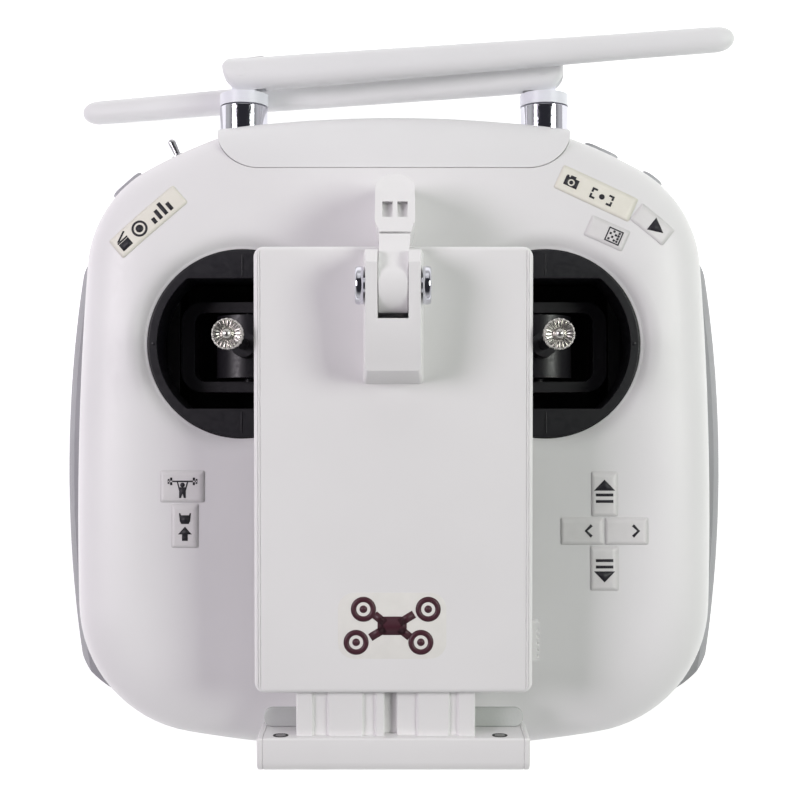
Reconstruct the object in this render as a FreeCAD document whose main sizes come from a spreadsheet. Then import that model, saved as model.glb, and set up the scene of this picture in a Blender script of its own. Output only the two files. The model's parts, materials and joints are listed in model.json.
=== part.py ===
"""Hand-held radio transmitter controller with a fold-over device holder.

The controller lies on its back. +Z is the normal of its front face, +Y points to the antennas and +X is
to the user's right. The origin is on the flat land of the rear shell. All sizes are in millimetres.
"""

import FreeCAD, Part
import math
import os
import re

from FreeCAD import Placement, Rotation, Vector

doc = FreeCAD.newDocument("transmitter")
sheet = doc.addObject("Spreadsheet::Sheet", "sizes")

# Driving dimensions: alias, value, meaning.
DIMENSIONS = [
    ("case_half_width", 86.1, "half width of the two shells at the parting line"),
    ("case_waist", 17, "position of the widest line of the shells, below the origin"),
    ("case_top", 85.9, "top edge of the shells on the centre line"),
    ("case_bottom", 86.4, "bottom edge of the shells on the centre line, below the origin"),
    ("top_arc", 360, "radius of the top edge between the antennas"),
    ("shoulder_top", 89, "height of the shoulders' arc on the centre line, above the top edge"),
    ("shoulder_arc", 138.5, "radius of the sloping shoulders"),
    ("shoulder_blend", 60, "radius between the top edge and the shoulders"),
    ("bottom_arc", 334, "radius of the bottom edge"),
    ("side_arc", 900, "radius of each long side"),
    ("top_corner", 32.5, "corner radius at the top"),
    ("bottom_corner", 36, "corner radius at the bottom"),
    ("tub_floor", 12, "height of the rear wall between the land and the grips"),
    ("parting_height", 30, "height of the joint between the shells"),
    ("face_height", 50, "height of the front face"),
    ("face_rim", 13, "rounding between the front face and the sides"),
    ("tub_rim", 14, "rounding between the rear wall and the sides"),
    ("shell_wall", 2.2, "wall thickness of the shells"),
    ("land_half_width", 34, "half width of the flat rear land"),
    ("land_bottom", 58, "lower end of the rear land, below the origin"),
    ("land_top", 62, "upper end of the rear land"),
    ("grip_centre", 48, "distance of each grip's centre from the middle"),
    ("grip_row", 8, "position of each grip's centre along the case, below the origin"),
    ("grip_reach", 44.2, "half width of a grip's section"),
    ("grip_length", 130, "half length of a grip's full section"),
    ("grip_end_length", 72, "half length over which a grip's ends run out into the rear wall"),
    ("grip_depth", 22, "height of a grip's widest line"),
    ("grip_skin", 2, "thickness of a rubber grip pad"),
    ("deck_half_width", 48, "half width of the top deck"),
    ("deck_seam", 70, "lower seam of the top deck"),
    ("deck_corner", 12, "corner radius of the top deck"),
    ("deck_floor", 37.5, "lowest edge of the top deck"),
    ("stick_spacing", 40.5, "distance of each stick from the middle"),
    ("stick_row", 23, "position of the sticks along the case"),
    ("stick_pivot", 30, "height of the gimbal axes"),
    ("well_radius", 25, "outer radius of a stick well"),
    ("well_plate", 48.4, "height of the ring plate in a stick well"),
    ("well_depth", 34, "height of the bottom of a stick well's skirt"),
    ("well_opening", 34.8, "opening of a stick well along the case, between its two flat edges"),
    ("well_ring", 2.3, "width of the ring plate beside the opening"),
    ("gimbal_size", 44, "outer width of a gimbal frame"),
    ("hub_radius", 9, "radius of a stick's hub"),
    ("stick_top", 82.5, "height of the top of a stick"),
    ("head_radius", 3.9, "radius of a stick's head"),
    ("hinge_row", 34, "position of the holder's hinge along the case"),
    ("hinge_height", 88, "height of the holder's hinge"),
    ("holder_slope", 3.3, "rest slope of the folded holder, in degrees"),
    ("cradle_half_width", 34.4, "half width of the cradle"),
    ("cradle_top", 10.1, "upper end of the cradle, from the hinge"),
    ("cradle_bottom", 100.2, "lower end of the cradle, below the hinge"),
    ("cradle_face", 9.6, "depth of the cradle's outer face below the hinge"),
    ("cradle_depth", 10.6, "thickness of the cradle"),
    ("cradle_wall", 1.6, "wall thickness of the cradle cover"),
    ("clamp_gap", 11.4, "gap between the cradle and the jaw as stored"),
    ("jaw_length", 8.4, "size of the jaw along its slide"),
    ("bracket_half_width", 7.15, "half width of the hinge bracket"),
    ("bracket_slot", 3.65, "half width of the slot in the hinge bracket"),
    ("hinge_pin_radius", 1.95, "radius of the hinge pin"),
    ("coin_radius", 4.55, "radius of the hinge pin's round caps"),
    ("antenna_spacing", 42.2, "distance of each antenna's axis from the middle"),
    ("antenna_height", 30, "height of the antennas' swivel axes"),
    ("antenna_hinge", 100, "position of the antennas' hinge pins along the case"),
    ("antenna_length", 133.7, "length of an antenna from its hinge pin to its tip"),
    ("antenna_root", 4.4, "radius of an antenna at its root"),
    ("antenna_tip", 3.5, "radius of an antenna at its tip"),
    ("collar_radius", 6.75, "radius of an antenna's socket and collar"),
    ("left_swivel", 7, "forward swivel of the stored left antenna, in degrees"),
    ("right_swivel", 8, "backward swivel of the stored right antenna, in degrees"),
    ("left_rise", 1.9, "slope of the stored left antenna, in degrees"),
    ("right_fall", 2.8, "slope of the stored right antenna, in degrees"),
    ("running_gap", 0.05, "radial clearance of a running fit"),
    ("label_thickness", 0.2, "thickness of a label"),
]


class Sizes:
    """The sheet's values as plain numbers, by alias."""


dim = Sizes()
for row, (alias, value, meaning) in enumerate(DIMENSIONS, start=1):
    sheet.set(f"A{row}", alias)
    sheet.set(f"B{row}", str(value))
    sheet.set(f"C{row}", meaning)
    sheet.setAlias(f"B{row}", alias)
    setattr(dim, alias, float(value))
doc.recompute()

X_AXIS = Vector(1, 0, 0)
Y_AXIS = Vector(0, 1, 0)
Z_AXIS = Vector(0, 0, 1)
ALIASES = re.compile(r"[a-z][a-z_]+")
nodes = []


# ---------------------------------------------------------------- helpers


def formula(text):
    """A spreadsheet formula from words that are aliases."""
    return ALIASES.sub(lambda word: "sizes." + word.group(0), str(text))


def bind(feature, prop, text):
    feature.setExpression(prop, formula(text))


def block(name, x, y, z):
    """A box between low and high bounds, each a number or a formula."""
    box = doc.addObject("Part::Box", name)
    for prop, base, (low, high) in (("Length", "x", x), ("Width", "y", y), ("Height", "z", z)):
        bind(box, prop, f"({high}) - ({low})")
        bind(box, "Placement.Base." + base, low)
    return box


def turned_block(name, x, y, z, placement):
    """A box between low and high bounds along the axes of a placement."""
    box = doc.addObject("Part::Box", name)
    for prop, (low, high) in (("Length", x), ("Width", y), ("Height", z)):
        bind(box, prop, high - low)
    box.Placement = placement * Placement(Vector(x[0], y[0], z[0]), Rotation())
    return box


def rod(name, radius, start, direction, length):
    """A cylinder from a point along a direction."""
    cylinder = doc.addObject("Part::Cylinder", name)
    bind(cylinder, "Radius", radius)
    bind(cylinder, "Height", length)
    cylinder.Placement = Placement(Vector(*start), Rotation(Z_AXIS, Vector(*direction)))
    return cylinder


def taper(name, radius_low, radius_high, start, direction, length):
    """A cone frustum from a point along a direction."""
    cone = doc.addObject("Part::Cone", name)
    bind(cone, "Radius1", radius_low)
    bind(cone, "Radius2", radius_high)
    bind(cone, "Height", length)
    cone.Placement = Placement(Vector(*start), Rotation(Z_AXIS, Vector(*direction)))
    return cone


def ball(name, radius, centre):
    sphere = doc.addObject("Part::Sphere", name)
    bind(sphere, "Radius", radius)
    sphere.Placement.Base = Vector(*centre)
    return sphere


def fuse(name, pieces):
    joined = doc.addObject("Part::MultiFuse", name)
    joined.Shapes = pieces
    return joined


def common(name, pieces):
    shared = doc.addObject("Part::MultiCommon", name)
    shared.Shapes = pieces
    return shared


def group(name, pieces):
    """Separate solids that share one node."""
    compound = doc.addObject("Part::Compound", name)
    compound.Links = pieces
    return compound


def cut(name, base, tools):
    tool = tools[0] if len(tools) == 1 else fuse(name + "_tools", tools)
    result = doc.addObject("Part::Cut", name)
    result.Base = base
    result.Tool = tool
    return result


def mirrored(name, source):
    """The mirror image of a piece in the plane x = 0."""
    image = doc.addObject("Part::Mirroring", name)
    image.Source = source
    image.Normal = X_AXIS
    return image


def rounded(name, base, radius, wanted):
    """The base with a fillet on each edge that the test accepts."""
    doc.recompute()
    picked = [n for n, edge in enumerate(base.Shape.Edges, start=1) if wanted(edge)]
    fillet = doc.addObject("Part::Fillet", name)
    fillet.Base = base
    fillet.Edges = [(n, radius, radius) for n in picked]
    return fillet


def upright(edge):
    """True for an edge parallel to Z."""
    ends = edge.Vertexes
    if len(ends) != 2:
        return False
    return (ends[0].Point - ends[1].Point).cross(Z_AXIS).Length < 1e-6


def at_height(height):
    """A test for edges that lie in the plane at this height."""
    return lambda edge: all(abs(point.Z - height) < 1e-6 for point in edge.Vertexes)


def along(direction):
    """A test for straight edges along a direction."""

    def test(edge):
        ends = edge.Vertexes
        return len(ends) == 2 and (ends[0].Point - ends[1].Point).cross(direction).Length < 1e-6

    return test


def prism(name, outline, thickness, placement):
    """A PartDesign pad of a closed outline of straight lines, half its thickness to each side."""
    body = doc.addObject("PartDesign::Body", name)
    sketch = body.newObject("Sketcher::SketchObject", name + "_sketch")
    plane = [p for p in body.Origin.OriginFeatures if p.Role == "XY_Plane"][0]
    sketch.AttachmentSupport = [(plane, "")]
    sketch.MapMode = "FlatFace"
    for begin, end in zip(outline, outline[1:] + outline[:1]):
        sketch.addGeometry(Part.LineSegment(Vector(*begin, 0), Vector(*end, 0)), False)
    pad = body.newObject("PartDesign::Pad", name + "_pad")
    pad.Profile = sketch
    pad.Midplane = True
    bind(pad, "Length", thickness)
    body.Placement = placement
    return body


def node(piece, label=None):
    """Declare a finished sub-part."""
    piece.Label = label or piece.Name
    nodes.append(piece)
    return piece


def place(piece, placement):
    piece.Placement = placement
    return piece


# ---------------------------------------------------------------- shells


def corner_centre():
    """Centre of the right top corner's arc, which touches the shoulder's arc and the side arc."""
    top = Vector(0, dim.shoulder_top - dim.shoulder_arc, 0)
    side = Vector(dim.case_half_width - dim.side_arc, -dim.case_waist, 0)
    top_reach = dim.shoulder_arc - dim.top_corner
    side_reach = dim.side_arc - dim.top_corner
    spread = (side - top).Length
    line = (side - top) / spread
    along_line = (top_reach**2 - side_reach**2 + spread**2) / (2 * spread)
    offset = math.sqrt(top_reach**2 - along_line**2)
    return top + line * along_line + Vector(line.y, -line.x, 0) * offset


def case_block(name, inset, low, high, rim, rim_height, shoulders=True):
    """The case outline as a solid, moved in by the inset, with its rim rounded at one height."""
    side_x = dim.side_arc - dim.case_half_width
    arcs = [
        ("top", "top_arc", (0, dim.case_top - dim.top_arc)),
        ("bottom", "bottom_arc", (0, dim.bottom_arc - dim.case_bottom)),
        ("right", "side_arc", (-side_x, -dim.case_waist)),
        ("left", "side_arc", (side_x, -dim.case_waist)),
    ]
    if shoulders:
        arcs.append(("shoulder", "shoulder_arc", (0, dim.shoulder_top - dim.shoulder_arc)))
    discs = []
    for side, radius, centre in arcs:
        start = (*centre, low)
        discs.append(rod(f"{name}_{side}", f"{radius} - {inset}", start, Z_AXIS, high - low))
    plan = common(name + "_plan", discs)
    if shoulders:
        plan = rounded(name + "_blend", plan, dim.shoulder_blend - inset,
                       lambda e: upright(e) and e.CenterOfMass.y > 0 and abs(e.CenterOfMass.x) < 60)
    top = rounded(name + "_corners", plan, dim.top_corner - inset,
                  lambda e: upright(e) and e.CenterOfMass.y > 0 and abs(e.CenterOfMass.x) > 60)
    whole = rounded(name + "_low", top, dim.bottom_corner - inset,
                    lambda e: upright(e) and e.CenterOfMass.y < 0 and abs(e.CenterOfMass.x) > 60)
    return rounded(name, whole, rim, at_height(rim_height))


def on_shoulder(angle, height, depth=0.0, side=1):
    """Placement on the outline above a corner: local Z points out of the case, local Y is the case's Z."""
    turn = math.radians(angle)
    centre = corner_centre()
    radius = dim.top_corner
    top = Vector(0, dim.shoulder_top - dim.shoulder_arc, 0)
    if turn > math.atan2(centre.y - top.y, centre.x):
        centre = top
        radius = dim.shoulder_arc
    outward = Vector(side * math.cos(turn), math.sin(turn), 0)
    base = Vector(side * centre.x, centre.y, height) + outward * (radius - depth)
    return Placement(base, Rotation(Z_AXIS.cross(outward), Z_AXIS, outward, "ZYX"))


def grip_block(name, inset):
    """One grip's swelling, on the right side."""
    swelling = doc.addObject("Part::Ellipsoid", name + "_swelling")
    bind(swelling, "Radius1", f"grip_depth - {inset}")
    bind(swelling, "Radius2", f"grip_reach - {inset}")
    bind(swelling, "Radius3", f"grip_length - {inset}")
    swelling.Placement.Base = Vector(dim.grip_centre, -dim.grip_row, dim.grip_depth)
    ends = doc.addObject("Part::Ellipsoid", name + "_ends")
    bind(ends, "Radius1", f"parting_height + 2 - {inset}")
    bind(ends, "Radius2", f"grip_end_length - {inset}")
    bind(ends, "Radius3", f"grip_end_length - {inset}")
    ends.Placement.Base = Vector(dim.grip_centre, -dim.grip_row, dim.parting_height)
    stock = block(name + "_stock", (46 + inset, 92.7 - inset), (-76 + inset, 58 - inset),
                  (-1, "parting_height - 0.2"))
    inner = rounded(name + "_inner", stock, 14 - inset, lambda e: upright(e) and e.CenterOfMass.x < 60)
    outer = rounded(name + "_outer", inner, 30 - inset, lambda e: upright(e) and e.CenterOfMass.x > 60)
    return common(name, [swelling, ends, outer])


WELL = (dim.stick_spacing, dim.stick_row)
HEAD_CROWN = 2.3
SOCKET_RADIUS = "collar_radius + running_gap"
POSTS = [(x, y) for x in (-29, 29) for y in (-53, 56)]
DIAL_ANGLE = 58
DIAL_DEPTH = 6
DIAL_BASE = 17
DIAL_WIDTH = 6
DIAL_RADIUS = 9
TOGGLE_ANGLE = 64.5
TOGGLE_HEIGHT = 35.5
SHOULDER_HEIGHT = 33.6
RECORD_ANGLE = 48
SHUTTER_ANGLE = 65.6
PLAYBACK_ANGLE = 52.9
FACE_BUTTONS = {"power_button": (17, -28), "home_button": (-17, -28)}
REAR_BUTTON = (43, 52)
FAN_CENTRE = (0, 24)
LIGHT_ROW = (-9, -3, 3, 9)
LIGHT_Y = -12
ARM_SCREWS = (51, 60)
JAW_SCREWS = (-27.5, 27.5)
RELEASE_LOW = -93
RELEASE_HIGH = -83
WELL_BASE = 45.4
SKIRT_WALL = 1.6


def pill(name, length, width, low, high):
    """An oblong prism along local X, centred on local Z."""
    half = (length - width) / 2
    middle = block(name + "_middle", (-half, half), (-width / 2, width / 2), (low, high))
    ends = [rod(f"{name}_end{n}", width / 2, (x, 0, low), Z_AXIS, high - low)
            for n, x in enumerate((-half, half))]
    return fuse(name, [middle] + ends)


def shoulder_cut(name, length, width, placement):
    return place(pill(name, length, width, -8, 3), placement)


def front_shell():
    outer = case_block("front_outer", 0, dim.parting_height, dim.face_height, dim.face_rim, dim.face_height)
    inner_top = dim.face_height - dim.shell_wall
    inner = case_block("front_inner", dim.shell_wall, dim.parting_height - 1, inner_top,
                       dim.face_rim - dim.shell_wall, inner_top)
    hollow = cut("front_hollow", outer, [inner])
    posts = [rod(f"front_post{n}", 3.6, (x, y, 14.2), Z_AXIS, inner_top - 13.7)
             for n, (x, y) in enumerate(POSTS)]
    body = fuse("front_body", [hollow] + posts)
    tools = [rod(f"front_pilot{n}", 1.3, (x, y, 14), Z_AXIS, 12) for n, (x, y) in enumerate(POSTS)]
    for side in (-1, 1):
        tag = "right" if side > 0 else "left"
        well = (side * WELL[0], WELL[1], 40)
        tools.append(rod(f"front_{tag}_well", "well_radius + 0.1", well, Z_AXIS, 20))
        start = (side * dim.antenna_spacing, 70, dim.antenna_height)
        tools.append(rod(f"front_{tag}_socket", SOCKET_RADIUS, start, Y_AXIS, 30))
    for name, (x, y) in FACE_BUTTONS.items():
        tools.append(rod("front_" + name, 6.25, (x, y, 40), Z_AXIS, 20))
    for n, x in enumerate(LIGHT_ROW):
        tools.append(rod(f"front_light{n}", 1.2, (x, LIGHT_Y, 40), Z_AXIS, 20))
    for n, y in enumerate(ARM_SCREWS):
        tools.append(rod(f"front_arm_hole{n}", 1.25, (0, y, 40), Z_AXIS, 20))
    toggle_seat = on_shoulder(TOGGLE_ANGLE, TOGGLE_HEIGHT, 12, -1)
    tools.append(place(rod("front_toggle", 3.15, (0, 0, 0), Z_AXIS, 20), toggle_seat))
    tools.append(shoulder_cut("front_record", 10.5, 5.9, on_shoulder(RECORD_ANGLE, SHOULDER_HEIGHT, 0, -1)))
    tools.append(shoulder_cut("front_shutter", 10.5, 5.9, on_shoulder(SHUTTER_ANGLE, SHOULDER_HEIGHT)))
    tools.append(shoulder_cut("front_playback", 6.9, 5.9, on_shoulder(PLAYBACK_ANGLE, SHOULDER_HEIGHT)))
    tools.append(deck_stock("front_deck", 0.15))
    node(cut("front_shell", body, tools))
    return outer, inner


def deck_stock(name, gap):
    """The prism that the top deck fills, wider by the gap."""
    half = dim.deck_half_width + gap
    stock = block(name + "_stock", (-half, half), (dim.deck_seam - gap, 95), (dim.deck_floor - gap, 55))
    return rounded(name, stock, dim.deck_corner + gap, lambda e: upright(e) and e.CenterOfMass.y < 80)


def top_deck(inner):
    """The deck between the antennas, whose ends stand out over the shoulders."""
    outer = case_block("deck_outer", 0, dim.parting_height, dim.face_height, dim.face_rim, dim.face_height,
                       shoulders=False)
    skin = cut("deck_skin", outer, [inner])
    piece = common("deck_piece", [skin, deck_stock("deck", 0)])
    bores = []
    for side in (-1, 1):
        start = (side * dim.antenna_spacing, 70, dim.antenna_height)
        bores.append(rod(f"deck_bore{side + 1}", SOCKET_RADIUS, start, Y_AXIS, 30))
    return node(cut("top_deck", piece, bores))


def rear_shell():
    floor = dim.tub_floor
    joint = dim.parting_height - 0.1
    outer_tub = case_block("rear_outer", 0, floor, joint, dim.tub_rim, floor)
    wall = dim.shell_wall
    inner_tub = case_block("rear_inner", wall, floor + wall, joint + 1, dim.tub_rim - wall, floor + wall)
    land = rounded("rear_land", block("rear_land_stock", ("-land_half_width", "land_half_width"),
                                      ("-land_bottom", "land_top"), (0, "tub_floor + 1")), 10, upright)
    soft_land = rounded("rear_land_soft", land, 3, at_height(0))
    grip = grip_block("rear_grip", dim.grip_skin)
    other_grip = mirrored("rear_other_grip", grip)
    posts = [rod(f"rear_post{n}", 3.8, (x, y, 0.5), Z_AXIS, 13.5) for n, (x, y) in enumerate(POSTS)]
    stock = fuse("rear_stock", [outer_tub, soft_land, grip, other_grip])
    land_room = rounded("rear_land_room", block("rear_land_room_stock",
                        ("-land_half_width + shell_wall", "land_half_width - shell_wall"),
                        ("-land_bottom + shell_wall", "land_top - shell_wall"),
                        ("shell_wall", "tub_floor + 5")), 8, upright)
    grip_room = grip_block("rear_grip_room", dim.grip_skin + 2.4)
    other_room = mirrored("rear_other_room", grip_room)
    hollow = cut("rear_hollow", stock, [inner_tub, land_room, grip_room, other_room])
    body = fuse("rear_body", [hollow] + posts)
    tools = []
    for n, (x, y) in enumerate(POSTS):
        tools.append(rod(f"rear_head_room{n}", 2.9, (x, y, -1), Z_AXIS, 4))
        tools.append(rod(f"rear_screw_hole{n}", 1.6, (x, y, 1), Z_AXIS, 15))
    for side in (-1, 1):
        start = (side * dim.antenna_spacing, 70, dim.antenna_height)
        tools.append(rod(f"rear_socket{side + 1}", SOCKET_RADIUS, start, Y_AXIS, 30))
        dial = on_shoulder(DIAL_ANGLE, DIAL_BASE - 0.6, DIAL_DEPTH, side).Base
        tools.append(rod(f"rear_dial{side + 1}", DIAL_RADIUS + 0.6, dial, Z_AXIS, DIAL_WIDTH + 1.2))
        button = (side * REAR_BUTTON[0], REAR_BUTTON[1], 5)
        tools.append(rod(f"rear_button_hole{side + 1}", 4.4, button, Z_AXIS, 12))
    tools.append(rod("rear_vent_hole", 13.05, (*FAN_CENTRE, -1), Z_AXIS, 4))
    tools.append(block("rear_host_hole", (-7.1, 7.1), (-72.1, -65.9), (5, 20)))
    tools.append(block("rear_micro_hole", (-17, -9), (-95, -80), (19.5, 24.5)))
    tools.append(rod("rear_charge_hole", 4.3, (13, -95, 22), Y_AXIS, 15))
    node(cut("rear_shell", body, tools))
    return outer_tub


def grip_pads(outer_tub):
    stock = grip_block("grip", 0)
    core = grip_block("grip_core", dim.grip_skin)
    pad = node(cut("right_grip_pad", stock, [core, outer_tub]))
    return pad, node(mirrored("left_grip_pad", pad))


# ---------------------------------------------------------------- sticks


def well_prism(name, radius, half, low, high):
    """The outline of the right well's opening as a solid: a disc with two flat edges."""
    x, y = WELL
    disc = rod(name + "_disc", radius, (x, y, low), Z_AXIS, high - low)
    flats = block(name + "_flats", (x - 30, x + 30), (y - half, y + half), (low, high))
    return common(name, [disc, flats])


def stick_well():
    """The right well: a ring plate under the face, and a skirt round the opening for the stick."""
    x, y = WELL
    plate = rod("well_plate", "well_radius", (x, y, WELL_BASE), Z_AXIS, dim.well_plate - WELL_BASE)
    flange = rod("well_flange", "well_radius + 2.5", (x, y, WELL_BASE), Z_AXIS, 2.2)
    inner = dim.well_radius - dim.well_ring
    half = dim.well_opening / 2
    skirt = well_prism("well_skirt", inner + SKIRT_WALL, half + SKIRT_WALL, dim.well_depth, WELL_BASE + 1)
    opening = well_prism("well_opening_cut", inner, half, dim.well_depth - 1, dim.well_plate + 1)
    return cut("right_stick_well", fuse("well_stock", [plate, flange, skirt]), [opening])


def gimbal_frame():
    """The right gimbal frame: a square ring with a floor, the two trunnion bores and two angle sensors."""
    x, y = WELL
    half = dim.gimbal_size / 2
    top = dim.well_depth - 0.2
    stock = block("gimbal_stock", (x - half, x + half), (y - half, y + half), (16, top))
    inner = half - 3.2
    room = block("gimbal_room", (x - inner, x + inner), (y - inner, y + inner), (17.6, top + 1))
    bore = rod("gimbal_bore", 2 + dim.running_gap, (x - 30, y, dim.stick_pivot), X_AXIS, 60)
    ring = cut("gimbal_ring", rounded("gimbal_soft", stock, 3, upright), [room, bore])
    sensor = block("gimbal_sensor", (x + half, x + half + 3.4), (y - 6, y + 6), (18, 33))
    return group("right_gimbal_frame", [ring, sensor])


def gimbal_spring():
    """The right gimbal's return spring on its inner trunnion, as stacked turns."""
    x, y = WELL
    turns = []
    for step in range(3):
        ring = doc.addObject("Part::Torus", f"spring_turn{step}")
        ring.Radius1 = 3.3
        ring.Radius2 = 0.5
        centre = Vector(x - dim.gimbal_size / 2 - 0.7 - 1.1 * step, y, dim.stick_pivot)
        ring.Placement = Placement(centre, Rotation(Z_AXIS, X_AXIS))
        turns.append(ring)
    return turns


def yoke():
    """The right yoke: a long ring on trunnions along X, with the cross pin that the stick turns on."""
    x, y = WELL
    z = dim.stick_pivot
    frame = block("yoke_stock", (x - 18.4, x + 18.4), (y - 12.5, y + 12.5), (z - 4, z + 4))
    room = block("yoke_room", (x - 14.6, x + 14.6), (y - 9.6, y + 9.6), (z - 5, z + 5))
    trunnions = [rod("yoke_outer_trunnion", 2, (x + 17.4, y, z), X_AXIS, 4),
                 rod("yoke_inner_trunnion", 2, (x - 26.4, y, z), X_AXIS, 9)]
    pin_hole = rod("yoke_pin_hole", 1.5, (x, y - 14, z), Y_AXIS, 28)
    ring = cut("yoke_ring", fuse("yoke_body", [rounded("yoke_soft", frame, 6, upright)] + trunnions),
               [rounded("yoke_room_soft", room, 3, upright), pin_hole])
    pin = rod("yoke_pin", 1.5, (x, y - 12.3, z), Y_AXIS, 24.6)
    return group("right_yoke", [ring, pin])


def stick():
    """The right stick: a drum-shaped hub on the cross pin, a neck and a thin threaded shaft."""
    x, y = WELL
    z = dim.stick_pivot
    hub = rod("stick_hub", "hub_radius", (x, y - 8.6, z), Y_AXIS, 17.2)
    neck = rod("stick_neck", 3.4, (x, y, z), Z_AXIS, 16)
    shaft = rod("stick_shaft", 1.5, (x, y, z + 10), Z_AXIS, dim.stick_top - HEAD_CROWN - z - 10)
    bore = rod("stick_bore", 1.5 + dim.running_gap, (x, y - 20, z), Y_AXIS, 40)
    return cut("right_stick", fuse("stick_body", [hub, neck, shaft]), [bore])


def stick_head():
    """The right stick's two-part screw head: a toothed cap with a dome, and the lock nut under it."""
    x, y = WELL
    cap_low = dim.stick_top - 4.4
    cap = rod("head_cap", "head_radius", (x, y, cap_low), Z_AXIS, 3.6)
    notches = []
    for step in range(12):
        turn = math.radians(30 * step)
        start = (x + 3.9 * math.cos(turn), y + 3.9 * math.sin(turn), cap_low + 2.6)
        notches.append(rod(f"head_notch{step}", 0.45, start, (-math.cos(turn), -math.sin(turn), 0.35), 2.2))
    dome = ball("head_dome", 1.4, (x, y, cap_low + 3.0))
    nut = rod("head_nut", 3.2, (x, y, cap_low - 3.6), Z_AXIS, 3.4)
    hole = rod("head_hole", 1.5, (x, y, cap_low - 4), Z_AXIS, dim.stick_top - HEAD_CROWN - cap_low + 4)
    crown = cut("head_crown", fuse("head_body", [cut("head_teeth", cap, notches), dome]), [hole])
    return group("right_stick_head", [crown, cut("head_ring", nut, [hole])])


def sticks():
    makers = [stick_well, gimbal_frame, yoke, stick, stick_head]
    for make in makers:
        right = node(make())
        node(mirrored(right.Name.replace("right", "left"), right))
    turns = gimbal_spring()
    left_turns = [mirrored(turn.Name + "_left", turn) for turn in turns]
    node(group("gimbal_springs", turns + left_turns))


# ---------------------------------------------------------------- electronics


def electronics():
    board = block("board_plate", (-58, 58), (-74, -8), (31.4, 33))
    posts = [rod(f"board_hole{n}", 4.4, (x, -53, 20), Z_AXIS, 20) for n, x in enumerate((-29, 29))]
    plate = cut("board_cut", rounded("board_soft", board, 12, upright), posts)
    chips = [
        block("processor", (-7, 7), (-50, -36), (33, 34.4)),
        block("memory", (12, 22), (-52, -42), (33, 34.1)),
        block("power_converter", (-24, -12), (-66, -57), (33, 37)),
        block("charge_coil", (36, 44), (-30, -22), (33, 37.5)),
        block("board_header", (-52, -47), (-50, -20), (33, 38)),
    ]
    node(group("main_board", [plate] + chips))
    carrier = block("radio_carrier", (-17, 17), (44, 63), (19, 20.4))
    can = block("radio_can", (-13, 13), (46, 61), (20.4, 24))
    node(group("radio_module", [carrier, rounded("radio_can_soft", can, 1, at_height(24))]))
    cells = []
    for n, x in enumerate((-15.3, 15.3)):
        cell = block(f"cell_stock{n}", (x - 15, x + 15), (-47, -6), (2.4, 20))
        cells.append(rounded(f"cell{n}", cell, 5, along(Y_AXIS)))
    node(group("battery_pack", cells))
    x, y = FAN_CENTRE
    frame = block("fan_stock", (x - 15, x + 15), (y - 15, y + 15), (2.5, 12.5))
    duct = rod("fan_duct", 13.6, (x, y, 2), Z_AXIS, 9.4)
    ports = [rod(f"fan_port{n}", 3.2, (x + 9 * math.cos(turn), y + 9 * math.sin(turn), 10), Z_AXIS, 5)
             for n, turn in enumerate(math.radians(60 * step) for step in range(6))]
    bearing = rod("fan_bearing", 1 + dim.running_gap, (x, y, 8), Z_AXIS, 6)
    node(cut("fan_housing", rounded("fan_soft", frame, 3, upright), [duct, bearing] + ports))
    node(fan_rotor())
    disc = rod("vent_disc", 13, (x, y, 0.4), Z_AXIS, 1.5)
    slots = []
    for step in range(-3, 4):
        middle = y + 3.4 * step
        reach = math.sqrt(11.4**2 - (3.4 * step) ** 2)
        across = (x - reach, x + reach)
        slots.append(block(f"vent_slot{step + 3}", across, (middle - 0.9, middle + 0.9), (0, 3)))
    node(cut("rear_vent", disc, slots))
    node(ports_group())
    pipes = [rod(f"light_pipe{n}", 1.2, (x, LIGHT_Y, 36), Z_AXIS, dim.face_height - 35.9)
             for n, x in enumerate(LIGHT_ROW)]
    node(group("status_lights", pipes))
    node(group("button_switches", switches()))


def fan_rotor():
    x, y = FAN_CENTRE
    hub = rod("rotor_hub", 4.6, (x, y, 3.4), Z_AXIS, 7.2)
    spindle = rod("rotor_spindle", 1, (x, y, 9), Z_AXIS, 3)
    blades = []
    for step in range(7):
        turn = 360 / 7 * step
        seat = Placement(Vector(x, y, 6.9), Rotation(Z_AXIS, turn) * Rotation(X_AXIS, 35))
        blades.append(turned_block(f"rotor_blade{step}", (3.5, 12.7), (-0.5, 0.5), (-2.6, 2.6), seat))
    return fuse("fan_rotor", [hub, spindle] + blades)


def ports_group():
    """Host port on the rear; micro port and charging socket in the bottom edge."""
    host = cut("host_port", block("host_can", (-7, 7), (-72, -66), (12.4, 26)),
               [block("host_room", (-6.3, 6.3), (-71.3, -66.7), (12, 24))])
    tongue = block("host_tongue", (-5.6, 5.6), (-70.9, -69.1), (14, 24))
    micro = cut("micro_port", block("micro_can", (-16.9, -9.1), (-84.5, -76), (19.6, 24.4)),
                [block("micro_room", (-16.3, -9.7), (-85, -77), (20.2, 23.8))])
    charge = cut("charge_socket", rod("charge_barrel", 4.2, (13, -85, 22), Y_AXIS, 12),
                 [rod("charge_bore", 2.75, (13, -86, 22), Y_AXIS, 10)])
    return group("ports", [host, tongue, micro, charge])


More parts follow.
